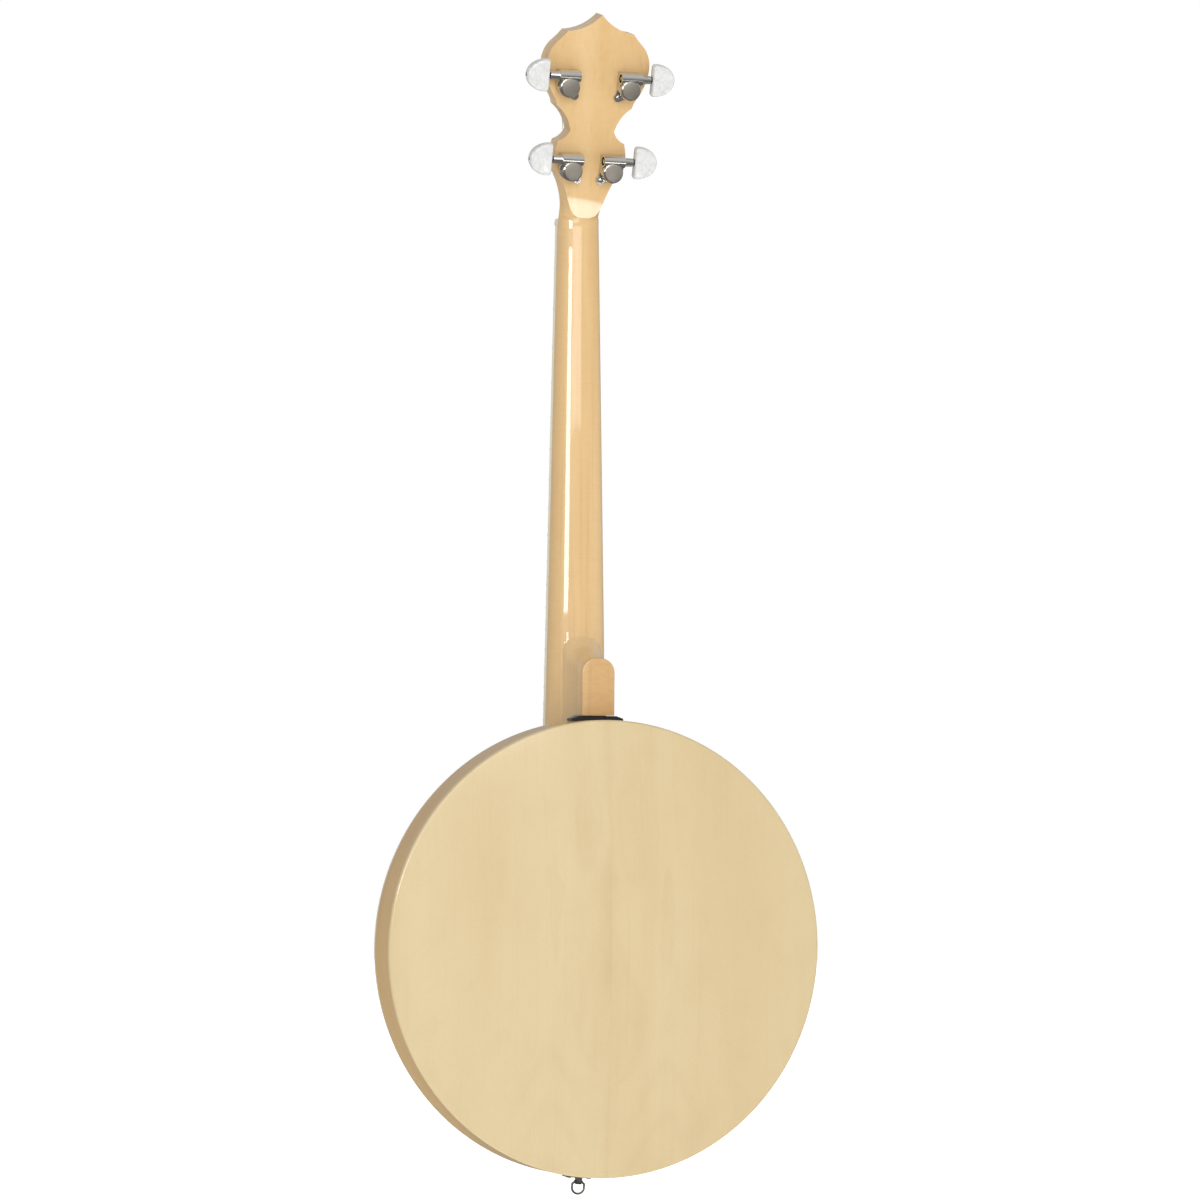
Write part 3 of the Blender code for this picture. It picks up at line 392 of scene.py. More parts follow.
def dark_wood(name, light, dark, roughness):
    """Open-pored rosewood or ebony, oiled."""
    look = Look(name, dark, roughness, specular_ior_level=0.45)
    pores = look.noise((1400, 1400, 55), 2.0, 0.6)
    look.stain(look.noise((160, 160, 6), 4.0, 0.6, 0.8), 0.35, 0.7, 1.0, light)
    look.stain(pores, 0.6, 0.68, 0.7, darker(dark, 0.3))
    height = look.minus(1.0, look.ramp(pores, 0.6, 0.68))
    return look.done(height, 0.3, 0.0002, look.ramp(pores, 0.5, 0.7, roughness, roughness + 0.2))


def metal(name, colour, roughness, wear=0.06, brush=None):
    """Plated or turned metal: faint smudges in gloss and colour, and brushing along one axis where asked."""
    look = Look(name, colour, roughness, 1.0)
    smudge = look.noise(90, 4.0, 0.6)
    look.stain(smudge, 0.45, 0.75, 0.12, darker(colour, 0.72))
    gloss = look.ramp(smudge, 0.4, 0.7, roughness, roughness + wear)
    if brush:
        return look.done(look.noise(brush, 2.0, 0.6), 0.12, 0.0001, gloss)
    return look.done(look.noise(2600, 2.0), 0.015, 0.0001, gloss)


def pearl(name):
    """Pearloid plastic: soft clouded flakes in white."""
    look = Look(name, (0.86, 0.86, 0.84), 0.2, coat_weight=0.8, coat_roughness=0.05, sheen_weight=0.05)
    flow = look.noise((150, 150, 90), 3.0, 0.6, 2.5)
    sockets = {"Vector": look.scaled((260, 260, 150)), "Scale": 1.0}
    flakes = look.add("ShaderNodeTexVoronoi", sockets, feature="SMOOTH_F1")
    look.tone = (0.69, 0.69, 0.68)
    look.stain(flow, 0.35, 0.7, 1.0, (0.56, 0.56, 0.55))
    look.stain(flakes.outputs["Distance"], 0.1, 0.7, 0.4, (0.74, 0.74, 0.735))
    return look.done(flow, 0.03, 0.0003, look.ramp(flow, 0.3, 0.7, 0.14, 0.26))


def plastic(name, colour, roughness, variation=0.06):
    look = Look(name, colour, roughness, specular_ior_level=0.5)
    look.stain(look.noise(60), 0.35, 0.7, 1.0, darker(colour, 1 - variation))
    fine = look.noise(1200, 2.0)
    return look.done(fine, 0.03, 0.0001, look.ramp(fine, 0.3, 0.7, roughness - 0.04, roughness + 0.06))


def frosted_head(name):
    """Sprayed polyester head: a white coat with a fine pebbled texture, thinner towards the edge."""
    look = Look(name, (0.8, 0.79, 0.76), 0.5, subsurface_weight=0.08, specular_ior_level=0.4)
    spray = look.noise(1700, 3.0, 0.7)
    x, y, z = look.split(look.place)
    out = look.length(x, look.math("ADD", z, -POT_Z * MM))
    look.tone = (0.80, 0.79, 0.765)
    look.stain(look.noise(14), 0.35, 0.7, 1.0, (0.74, 0.73, 0.70))
    look.stain(out, 0.131, 0.138, 0.55, (0.62, 0.60, 0.55))
    return look.done(spray, 0.12, 0.0002, look.ramp(spray, 0.3, 0.7, 0.42, 0.6))


def felt(name, colour):
    look = Look(name, colour, 0.9, sheen_weight=0.3)
    fibres = look.noise(900, 4.0, 0.7, 1.5)
    look.stain(fibres, 0.4, 0.7, 1.0, darker(colour, 2.4))
    return look.done(fibres, 0.5, 0.0004)


def wound_steel(name, colour, pitch):
    """Wound string: fine ridges along its length."""
    look = Look(name, colour, 0.28, 1.0)
    x, y, z = look.split(look.place)
    look.stain(look.noise((60, 60, 20)), 0.4, 0.7, 0.5, darker(colour, 0.6))
    return look.done(look.math("SINE", look.times(z, math.tau / pitch)), 0.6, 0.0001)


NECK_MAPLE = ((0.74, 0.515, 0.255), (0.67, 0.435, 0.19), (0.50, 0.27, 0.09))
CAP_MAPLE = ((0.68, 0.44, 0.20), (0.61, 0.37, 0.15), (0.42, 0.20, 0.06))
RIM_MAPLE = ((0.62, 0.46, 0.26), (0.54, 0.38, 0.20), (0.36, 0.22, 0.10))
BRIDGE_MAPLE = ((0.66, 0.50, 0.29), (0.56, 0.40, 0.21), (0.38, 0.24, 0.11))
BACK_MAPLE = ((0.665, 0.535, 0.312), (0.632, 0.492, 0.270), (0.50, 0.335, 0.145))
SIDE_MAPLE = ((0.60, 0.40, 0.175), (0.54, 0.34, 0.135), (0.36, 0.20, 0.07))

# Each look is a slot name and its material.
LOOKS = {
    "neck": ("maple", maple("neck_maple", NECK_MAPLE, 0.07)),
    "heel_cap": ("maple", maple("cap_maple", CAP_MAPLE, 0.16)),
    "rim": ("maple", maple("rim_maple", RIM_MAPLE, coat=0.4, coat_roughness=0.2)),
    "bridge": ("maple_pale", maple("bridge_maple", BRIDGE_MAPLE, 0.0, 0.0, 0.1, 0.5)),
    "back": ("maple_pale", bookmatched_back("back_veneer", BACK_MAPLE)),
    "side": ("maple_side", bent_maple("side_veneer", SIDE_MAPLE)),
    "rosewood": ("rosewood", dark_wood("rosewood", (0.13, 0.062, 0.036), (0.055, 0.026, 0.018), 0.42)),
    "ebony": ("ebony", dark_wood("ebony", (0.028, 0.022, 0.019), (0.012, 0.010, 0.009), 0.34)),
    "bone": ("bone", plastic("bone", (0.78, 0.74, 0.64), 0.3, 0.1)),
    "binding": ("bone", plastic("ivory_binding", (0.80, 0.76, 0.60), 0.25, 0.05)),
    "black": ("ebony", plastic("black_plastic", (0.012, 0.012, 0.013), 0.35)),
    "pearl": ("pearloid", pearl("pearloid")),
    "nickel": ("nickel", metal("nickel", (0.66, 0.64, 0.60), 0.10)),
    "satin": ("nickel", metal("satin_nickel", (0.50, 0.46, 0.40), 0.40, 0.05, (300, 3000, 3000))),
    "dark_wire": ("nickel", metal("dark_wire", (0.30, 0.285, 0.26), 0.25)),
    "bronze": ("bronze", metal("bronze", (0.62, 0.42, 0.20), 0.24, 0.12)),
    "steel": ("steel", metal("steel", (0.58, 0.58, 0.57), 0.26, 0.1)),
    "wound": ("steel", wound_steel("wound_string", (0.55, 0.50, 0.44), 0.0007)),
    "head": ("coated_head", frosted_head("coated_head")),
    "felt": ("black_felt", felt("black_felt", (0.010, 0.010, 0.011))),
}


# ---------------------------------------------------------------- mesh building blocks

def finish_mesh(bm, name, sharp=35.0):
    bmesh.ops.scale(bm, vec=(MM, MM, MM), verts=bm.verts)
    bmesh.ops.recalc_face_normals(bm, faces=bm.faces)
    mesh = bpy.data.meshes.new(name)
    bm.to_mesh(mesh)
    bm.free()
    mesh.shade_smooth()
    mesh.set_sharp_from_angle(angle=math.radians(sharp))
    return mesh


def show(name, mesh, look, body=MAIN, replaces=(), bevel=0.0, segments=2, at=None, slot=None):
    """A visible piece with a look, riding on its CAD body and standing in for what it replaces."""
    own_slot, material = LOOKS[look]
    mesh.materials.clear()
    mesh.materials.append(material)
    obj = add_object(name, mesh)
    if at is not None:
        obj.matrix_world = at
    if bevel:
        modifier = obj.modifiers.new("edges", "BEVEL")
        modifier.width = bevel * MM
        modifier.segments = segments
        modifier.limit_method = "ANGLE"
        modifier.angle_limit = math.radians(32)
        modifier.harden_normals = False
    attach(obj, body)
    if replaces:
        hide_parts(*replaces)


def piece(name, bm, look, sharp=35.0, **details):
    """A visible piece made from a bmesh in millimetres."""
    show(name, finish_mesh(bm, name, sharp), look, **details)


def carved(name, blank, look, joined=(), cut=(), **details):
    """A visible piece from a closed bmesh, others joined to it and others cut out of it."""
    obj = add_object("blank", finish_mesh(blank, "blank"))
    tools = []
    for operation, shapes in (("UNION", joined), ("DIFFERENCE", cut)):
        for shape in shapes:
            tool = add_object("tool", finish_mesh(shape, "tool"))
            modifier = obj.modifiers.new("shape", "BOOLEAN")
            modifier.operation = operation
            modifier.object = tool
            tools.append(tool)
    bpy.context.view_layer.update()
    graph = bpy.context.evaluated_depsgraph_get()
    mesh = bpy.data.meshes.new_from_object(obj.evaluated_get(graph))
    for used in tools + [obj]:
        bpy.data.objects.remove(used)
    mesh.shade_smooth()
    mesh.set_sharp_from_angle(angle=math.radians(30))
    show(name, mesh, look, **details)


def skin(bm, rows, around=True):
    """Joins each row of vertices to the next with faces; a row may be one vertex."""
    for low, high in zip(rows, rows[1:]):
        longest = max(len(low), len(high))
        for k in range(longest if around else longest - 1):
            n = (k + 1) % longest
            corners = (low[k % len(low)], low[n % len(low)], high[n % len(high)], high[k % len(high)])
            unique = list(dict.fromkeys(corners))
            if len(unique) > 2:
                bm.faces.new(unique)


def loft(rings, bm=None, closed=False):
    """Skins rings of points, ending in a face at each end or, when closed, joined last to first."""
    bm = bm or bmesh.new()
    rows = [[bm.verts.new(point) for point in ring] for ring in rings]
    if closed:
        skin(bm, rows + rows[:1])
    else:
        skin(bm, rows)
        bm.faces.new(rows[0])
        bm.faces.new(rows[-1])
    return bm


def upright(levels, outline, bm=None):
    """An outline of (x, z) points carried from one y to the next."""
    return loft([[(x, y, z) for x, z in outline] for y in levels], bm)


def turned(profile, steps=288, angle=math.tau, start=0.0):
    """Spins a closed (radius, y) profile about the pot's axis; in a full turn, points on it become one."""
    bm = bmesh.new()
    full = angle >= math.tau
    rows = []
    for r, y in profile:
        count = steps if full else steps + 1
        if full and r == 0:
            count = 1
        turns = [start + angle * k / steps for k in range(count)]
        rows.append([bm.verts.new((r * math.sin(t), y, POT_Z + r * math.cos(t))) for t in turns])
    skin(bm, rows + rows[:1], full)
    if not full:
        bm.faces.new([row[0] for row in rows])
        bm.faces.new([row[-1] for row in rows])
    return bm


def lathe(start, direction, profile, sides=32, bm=None):
    """Turns (distance along, radius) points about an axis; ends with radius 0 close to a point."""
    start, direction = Vector(start), Vector(direction).normalized()
    side = direction.orthogonal().normalized()
    other = direction.cross(side)
    bm = bm or bmesh.new()
    rows = []
    for along, radius in profile:
        centre = start + direction * along
        turns = [math.tau * (k + 0.5) / sides for k in range(sides if radius else 1)]
        spokes = [side * math.cos(t) + other * math.sin(t) for t in turns]
        rows.append([bm.verts.new(centre + spoke * radius) for spoke in spokes])
    skin(bm, rows)
    for row in (rows[0], rows[-1]):
        if len(row) > 1:
            bm.faces.new(row)
    return bm


def arc(start, end, bulge, steps):
    """Points after start, up to end, along an arc that stands off its chord by bulge (left positive)."""
    (x0, y0), (x1, y1) = start, end
    chord = math.hypot(x1 - x0, y1 - y0)
    if abs(bulge) < 1e-6:
        return [(x0 + (x1 - x0) * k / steps, y0 + (y1 - y0) * k / steps) for k in range(1, steps + 1)]
    half = 2.0 * math.atan(2.0 * bulge / chord)
    radius = chord / (2.0 * math.sin(half))
    normal_x, normal_y = -(y1 - y0) / chord, (x1 - x0) / chord
    reach = radius * math.cos(half)
    centre = ((x0 + x1) / 2 - normal_x * reach, (y0 + y1) / 2 - normal_y * reach)
    first = math.atan2(y0 - centre[1], x0 - centre[0])
    turns = [first - 2.0 * half * k / steps for k in range(1, steps + 1)]
    return [(centre[0] + abs(radius) * math.cos(t), centre[1] + abs(radius) * math.sin(t)) for t in turns]


def sweep(centre, radii, first, last, steps):
    """Points on an ellipse from one angle in degrees to another, both ends included."""
    turns = [math.radians(first + (last - first) * k / steps) for k in range(steps + 1)]
    return [(centre[0] + radii[0] * math.cos(t), centre[1] + radii[1] * math.sin(t)) for t in turns]


def circle(radius, sides):
    return sweep((0, 0), (radius, radius), 0, 360, sides)[:-1]


def mirrored(right, shared=0):
    """A right-hand outline followed by its mirror image, without the last points that both share."""
    return right + [(-x, other) for x, other in reversed(right[: len(right) - shared])]


def tube(path, radius, sides=12, closed=False, bm=None):
    """A round tube along points, its section carried along without twist; radius may vary per point."""
    points = [Vector(p) for p in path]
    count = len(points)
    radii = radius if isinstance(radius, list) else [radius] * count
    rings = []
    side = None
    for i, point in enumerate(points):
        before = points[i - 1] if (i or closed) else point
        after = points[(i + 1) % count] if (i < count - 1 or closed) else point
        run = (after - before).normalized()
        side = run.orthogonal() if side is None else side - run * side.dot(run)
        side.normalize()
        other = run.cross(side)
        rings.append([point + (side * u + other * v) for u, v in circle(radii[i], sides)])
    return loft(rings, bm, closed)


def half_width(z):
    return NUT_HALF_WIDTH - HALF_WIDTH_SLOPE * z


def on_head(x, s, height):
    """A point on the headstock: x across, s up from the nut, height in front of its front face."""
    sine, cosine = math.sin(HEAD_ANGLE), math.cos(HEAD_ANGLE)
    return Vector((x, height * cosine - s * sine, s * cosine + height * sine))


def smooth_step(t):
    t = min(1.0, max(0.0, t))
    return t * t * (3.0 - 2.0 * t)


def screw_heads(name, seats, radius, **details):
    """Domed screw heads with a dished slot ring, at seats given as a place and a direction out."""
    bm = bmesh.new()
    profile = [(-0.3, radius), (0.15, radius), (0.45, radius * 0.86), (0.62, radius * 0.55)]
    profile += [(0.64, radius * 0.42), (0.35, radius * 0.34), (0.3, 0)]
    for place, out in seats:
        lathe(place, out, profile, 24, bm)
    piece(name, bm, "nickel", sharp=50, **details)


def string_x(number, spread):
    return spread * (-1.0 + 2.0 * (number - 1) / 3.0)


def notched(end, spread, rim, floor):
    """Places across a saddle, each with whether it lies in a string's notch."""
    strings = [string_x(number, spread) for number in range(1, 5)]
    places = [-end, end] + [x + shift for x in strings for shift in (-rim, -floor, floor, rim)]
    return [(x, min(abs(x - string) for string in strings) < (floor + rim) / 2) for x in sorted(places)]


# ---------------------------------------------------------------- neck

HEAD_CORNERS = (
    ((15.6, 8.0), 0.0, 2), ((15.4, 14.0), 0.0, 2), ((26.7, 44.3), 2.3, 12), ((28.0, 61.3), -1.3, 8),
    ((26.7, 66.3), 0.0, 2), ((17.7, 74.9), 1.4, 9), ((30.3, 93.5), 2.2, 14), ((33.0, 100.0), 0.4, 4),
    ((41.4, 123.8), -1.8, 12), ((35.2, 140.8), -1.8, 10), ((26.5, 150.1), 0.3, 5), ((0.0, 163.4), 2.9, 16),
)
FLAT_START = 8.0
FLAT_FULL = 40.0
SCOOP_RATE = 1.2
SHAFT_DEPTH = 16.0
EXTRA_DEPTH = 5.0
EXTRA_DEPTH_RUN = 300.0
NUT_THINNING = 1.5
NECK_ROUNDNESS = 2.4
SECTION_STEPS = 22
FLAT_STEPS = 8
BEND_START = -24.0
BEND_RUN = 30.0
BINDING = 1.6


def headstock_half_outline():
    """Right half from the neck up to the peak, as (x, s) points: arcs between corners."""
    points = [(NUT_HALF_WIDTH, 0.0)]
    for corner, bulge, steps in HEAD_CORNERS:
        points += arc(points[-1], corner, bulge, steps)
    return points


HEAD_OUTLINE = headstock_half_outline()


def outline_half_width(s):
    for (x0, s0), (x1, s1) in zip(HEAD_OUTLINE, HEAD_OUTLINE[1:]):
        if s0 <= s <= s1:
            return x0 + (x1 - x0) * (s - s0) / (s1 - s0)
    return half_width(s)


def neck_section(station):
    """Half a cross-section from the middle of the back to the front edge, as (x, depth)."""
    width = outline_half_width(station)
    if station <= FLAT_START:
        along = min(1.0, -min(station, 0.0) / EXTRA_DEPTH_RUN)
        depth = SHAFT_DEPTH + EXTRA_DEPTH * along - NUT_THINNING * max(0.0, station) / FLAT_START
        power = 2.0 / NECK_ROUNDNESS
        turns = [math.pi / 2 * k / SECTION_STEPS for k in range(SECTION_STEPS + 1)]
        return [(width * math.sin(t) ** power, depth * math.cos(t) ** power) for t in turns]
    virtual = HEAD_THICKNESS + SCOOP_RATE * (station - FLAT_START)
    ratio = HEAD_THICKNESS / virtual
    full = station >= FLAT_FULL
    flat = width if full else width * math.sqrt(1.0 - ratio * ratio)
    section = [(flat * k / FLAT_STEPS, HEAD_THICKNESS) for k in range(FLAT_STEPS + 1)]
    steps = SECTION_STEPS - FLAT_STEPS
    for k in range(1, steps + 1):
        left = 1.0 - k / steps
        turn = math.asin(ratio) * left
        x = width if full else width * math.cos(turn)
        section.append((x, HEAD_THICKNESS * left if full else virtual * math.sin(turn)))
    return section


def neck_ring(station):
    tilt = HEAD_ANGLE * smooth_step((station - BEND_START) / BEND_RUN)
    base = Vector((0, 0, station)) if station <= 0.0 else on_head(0, station, 0)
    inward = Vector((0, -math.cos(tilt), -math.sin(tilt)))
    half = neck_section(station)
    ring = [(-x, depth) for x, depth in reversed(half)] + half[1:]
    return [base + Vector((x, 0, 0)) + inward * depth for x, depth in ring]


def neck_blank():
    """Shaft, transition and headstock in one closed skin; the U-shaped end of the flat back is an edge."""
    stations = [-383.0 + 9.25 * k for k in range(39)] + [BEND_START + 2.0 * k for k in range(16)]
    stations += [8.15, 8.5, 9.0, 9.7, 10.6, 11.8, 13.2, 15.0, 17.0, 19.5, 22.0, 25.0, 28.0, 31.5, 35.0]
    stations.append(FLAT_FULL)
    bm = bmesh.new()
    rows = [[bm.verts.new(point) for point in neck_ring(station)] for station in stations]
    skin(bm, rows)
    bm.faces.new(rows[0])
    last = rows[-1]
    rim = mirrored([(x, s) for x, s in HEAD_OUTLINE if s > FLAT_FULL + 1.0], 1)
    front = [bm.verts.new(on_head(x, s, 0.0)) for x, s in rim]
    back = [bm.verts.new(on_head(x, s, -HEAD_THICKNESS)) for x, s in rim]
    skin(bm, [front, back], around=False)
    left = SECTION_STEPS - FLAT_STEPS
    right = len(last) - 1 - left
    bm.faces.new(last[right:] + [front[0], back[0]])
    bm.faces.new(last[: left + 1][::-1] + [front[-1], back[-1]])
    bm.faces.new([last[0], last[-1]] + front)
    bm.faces.new(last[left : right + 1] + back)
    return bm


def rounded_top(half, top, shoulder, inset=0.0):
    """An upright outline down to the heel's end, its top two quarter ellipses, as (x, z) points."""
    half, top, shoulder = half - inset, top - inset, shoulder - inset
    flat = max(0.5, half - shoulder)
    corner = sweep((flat, top - shoulder), (half - flat, shoulder), 0, 90, 16)
    return mirrored([(half, HEEL_END)] + corner)


def heel_block():
    """The carved heel: level outlines from the wide arch in the neck's back to the cap's outline."""
    rings = []
    levels = 26
    top, bottom = -12.0, HEEL_CAP_FACE + 3.0
    for level in range(levels + 1):
        quarter = math.pi / 2 * level / levels
        share = math.sin(quarter) ** 1.35
        y = top + (bottom - top) * (1.0 - math.cos(quarter))
        outline = rounded_top(17.0 - 4.0 * share, -294.0 - 37.0 * share, 24.0 - 13.0 * share)
        rings.append([(x, y, z) for x, z in outline])
    return loft(rings)


def make_neck():
    foot_corners = [(-13.1, -35.4), (13.1, -35.4), (16.8, -13.0), (19.0, -0.1), (-19.0, -0.1), (-16.8, -13.0)]
    foot = loft([[(x, y, z) for x, y in foot_corners] for z in (-412.0, HEEL_END + 0.05)])
    seat = [(0, -70.0), (140.0, -70.0), (140.0, -21.6), (147.6, -21.6), (147.6, 2.0), (0, 2.0)]
    hole = [(0, 4.3), (HEAD_THICKNESS + 10, 4.3)]
    holes = bmesh.new()
    for side in (-1, 1):
        for across, along in (LOWER_POSTS, UPPER_POSTS):
            lathe(on_head(side * across, along, -HEAD_THICKNESS - 5), on_head(0, 0, 1), hole, 32, holes)
    joined, cut = (heel_block(), foot), (turned(seat, 216), holes)
    carved("neck_carved", neck_blank(), "neck", joined, cut, replaces=("neck",), bevel=0.45)


def make_heel_trim():
    rings = []
    for y, inset in ((-51.0, 0.0), (-53.1, 0.0), (-53.6, 0.15), (-53.9, 0.45), (HEEL_CAP_FACE, 0.9)):
        rings.append([(x, y, z) for x, z in rounded_top(13.0, -331.0, 11.0, inset)])
    piece("heel_cap_plate", loft(rings), "heel_cap", replaces=("heel_cap",), sharp=50)
    pad_radius, pad_half_angle = 171.8, 6.9
    top = mirrored([(20.6, HEEL_END - 2.2), (17.5, HEEL_END - 1.2), (15.0, HEEL_END - 0.3)])
    lower = sweep((0, POT_Z), (pad_radius, pad_radius), 90 + pad_half_angle, 90 - pad_half_angle, 12)
    piece("heel_pad_strip", upright((-52.5, -41.0), top + lower), "felt", replaces=("heel_pad",), bevel=0.3)


def fret_z(number):
    return -SCALE_LENGTH * (1.0 - 2.0 ** (-number / 12.0))


def dots(numbers, shift_at_octave):
    """The fret number's middle and the shifts of its dots: two at the octave, otherwise one."""
    for number in numbers:
        shifts = (-shift_at_octave, shift_at_octave) if number == 12 else (0.0,)
        for shift in shifts:
            yield (fret_z(number) + fret_z(number - 1)) / 2, shift


def make_fretboard():
    """Rosewood board between two bindings, with crowned frets, pearl dots and side dots."""
    top = FRETBOARD_TOP
    ends = (-FRETBOARD_LENGTH, 0.0)
    rings = []
    for z in ends:
        w = half_width(z) - BINDING
        rings.append([(-w, 0.0, z), (w, 0.0, z), (w, top, z), (-w, top, z)])
    piece("fretboard_rosewood", loft(rings), "rosewood", replaces=("fretboard",), bevel=0.2)
    for side, label in ((-1, "treble"), (1, "bass")):
        rings = []
        for z in ends:
            outer, inner = side * half_width(z), side * (half_width(z) - BINDING)
            rings.append([(inner, 0.02, z), (outer, 0.02, z), (outer, top, z), (inner, top, z)])
        piece(f"fretboard_binding_{label}", loft(rings), "binding", bevel=0.3)
    frets = bmesh.new()
    crown = mirrored([(1.25, -0.2), (1.2, 0.25), (0.85, 0.72), (0.35, 0.98)])
    for number in range(1, FRETS + 1):
        z = fret_z(number)
        w = half_width(z) - 0.15
        rings = []
        for x, lower in ((-w, 0.55), (-w + 0.8, 0.0), (w - 0.8, 0.0), (w, 0.55)):
            rings.append([(x, top + max(-0.2, v - lower * (v > 0) * v), z + u) for u, v in crown])
        loft(rings, frets)
    piece("frets", frets, "nickel", sharp=60)
    inlays = bmesh.new()
    marks = bmesh.new()
    numbers = (3, 5, 7, 10, 12, 15, 17)
    for z, x in dots(numbers, 9.0):
        lathe((x, top - 0.6, z), (0, 1, 0), [(0, 3.1), (0.62, 3.1), (0.64, 3.0), (0.64, 0)], 32, inlays)
    for z, shift in dots(numbers, 1.6):
        start = (half_width(z) - 0.5, top / 2, z + shift)
        lathe(start, (1, 0, 0), [(0, 0.95), (0.53, 0.95), (0.55, 0.85), (0.55, 0)], 20, marks)
    piece("fretboard_dots", inlays, "pearl")
    piece("side_dots", marks, "black")


def make_nut():
    """Bone nut with a slot under each string."""
    rings = []
    for x, in_notch in notched(15.8, NUT_SPREAD, 0.75, 0.45):
        drop = 0.8 if in_notch else 0.0
        section = [(0.0, 0.1), (0.0, 6.6 - drop), (0.5, 7.3 - drop), (1.4, 7.7 - drop)]
        section += [(3.2, 7.0 - drop), (4.9, 5.6 - drop), (5.2, 4.4 - drop), (5.2, -0.95)]
        rings.append([(x, y, z) for z, y in section])
    piece("nut_bone", loft(rings), "bone", replaces=("nut",), bevel=0.15)


def make_truss_rod_cover():
    foot, waist, tip = (6.0, 8.5), (8.0, 20.0), (0.0, 38.0)
    outline = mirrored([foot] + arc(foot, waist, -0.8, 8) + arc(waist, tip, 1.6, 14), 1)
    rings = [[on_head(x, s, h) for x, s in outline] for h in (0.05, 2.1)]
    piece("truss_cover_plate", loft(rings), "black", replaces=("truss_rod_cover",), bevel=0.5)
    seats = [(on_head(0, s, 2.0), on_head(0, 0, 1)) for s in (13.5, 32.0)]
    screw_heads("truss_cover_screws", seats, 1.7)


make_neck()
make_heel_trim()
make_fretboard()
make_nut()
make_truss_rod_cover()


# ---------------------------------------------------------------- tuning machines

BUTTON_INNER = 16.8
BUTTON_OUTER = 35.0
BUTTON_HALF = 12.5
BUTTON_LIFT = 4.1
BUTTON_LEVELS = 14
TAB_CENTRE = -6.9
WINDING_TURNS = 4.5


def tuner_matrix(side, post):
    """The machine's frame: x outwards across the headstock, y up it, z out of its back face."""
    origin = on_head(side * post[0], post[1], -HEAD_THICKNESS) * MM
    return Matrix.Translation(origin) @ Matrix.Rotation(math.pi / 2 + HEAD_ANGLE, 4, "X")


def make_housing(number, side, at):
    """Die-cast body: a barrel over the worm, a drum over the wheel, a satin cap and a screw tab."""
    out, up = (side, 0, 0), (0, 0, 1)
    barrel = [(4.6, 0.2)] + sweep((0, WORM_HEIGHT), (4.6, 4.6), 0, 180, 12) + [(-8.3, 6.4), (-8.3, 0.2)]
    block = loft([[(side * x, WORM_OFFSET + v, w) for v, w in barrel] for x in (-8.0, 9.0)])
    drum_profile = [(0.2, 8.0), (9.6, 8.0), (10.3, 7.85), (10.8, 7.4), (11.0, 6.9), (11.0, 0)]
    drum = lathe((0, 0, 0), up, drum_profile, 64)
    collar_profile = [(8.0, 3.9), (9.6, 3.6), (10.2, 3.25), (15.2, 3.1), (15.8, 2.9), (16.0, 2.6)]
    collar = lathe((0, WORM_OFFSET, WORM_HEIGHT), out, collar_profile, 40)
    tab = sweep((TAB_CENTRE, TAB_CENTRE), (3.3, 3.3), 135, 315, 12) + [(-0.8, -7.9), (-7.9, -0.8)]
    plate = loft([[(side * x, y, z) for x, y in tab] for z in (0.25, 2.6)])
    bore = lathe((side * -9.0, WORM_OFFSET, WORM_HEIGHT), out, [(0, 3.3), (8, 3.3)], 32)
    shaft_bore = lathe((side * 14.0, WORM_OFFSET, WORM_HEIGHT), out, [(0, 2.0), (3, 2.0)], 24)
    parts = {"joined": (drum, collar, plate), "cut": (bore, shaft_bore)}
    replaces = (f"tuner_housing_{number}",)
    carved(f"machine_{number}_case", block, "nickel", **parts, replaces=replaces, bevel=0.35, at=at)
    cap = lathe((0, 0, 10.9), up, [(0, 6.75), (0.8, 6.75), (1.05, 6.6), (1.12, 6.3), (1.12, 0)], 64)
    piece(f"machine_{number}_cap", cap, "satin", at=at)
    seat = (side * TAB_CENTRE, TAB_CENTRE, 2.55)
    screw_heads(f"machine_{number}_screw", [(seat, up)], 1.8, at=at)


def make_button(number, side, at):
    """Half-moon pearloid button, its washer and the screw in its end."""
    on_body = {"body": f"button_{number}", "at": at}
    inner, outer, half = BUTTON_INNER, BUTTON_OUTER, BUTTON_HALF
    shoulder = inner + 2.6
    right = [(inner, 0.0), (inner, half * 0.45), (inner, half - 3.0)]
    right += arc((inner, half - 3.0), (shoulder, half), 1.0, 6)
    right += sweep((shoulder, 0), (outer - shoulder, half), 90, 0, 24)[1:]
    outline = right + [(x, -y) for x, y in reversed(right[1:-1])]
    middle = (inner + outer) / 2 - 0.5
    rings = []
    for level in range(BUTTON_LEVELS + 1):
        turn = math.pi * (level / BUTTON_LEVELS - 0.5)
        size = 0.74 + 0.26 * math.cos(turn) ** 0.6
        z = WORM_HEIGHT + BUTTON_LIFT * math.sin(turn)
        rings.append([(side * (middle + (x - middle) * size), WORM_OFFSET + y * size, z) for x, y in outline])
    replaces = (f"tuner_button_{number}",)
    piece(f"button_{number}_pearl", loft(rings), "pearl", replaces=replaces, sharp=70, **on_body)
    worm, out = (0, WORM_OFFSET, WORM_HEIGHT), (side, 0, 0)
    washer = lathe(worm, out, [(16.05, 2.7), (16.9, 2.7), (16.9, 0)], 24)
    piece(f"button_{number}_washer", washer, "black", bevel=0.1, **on_body)
    seat = (side * (BUTTON_OUTER - 0.4), WORM_OFFSET, WORM_HEIGHT)
    screw_heads(f"button_{number}_screw", [(seat, out)], 1.7, **on_body)


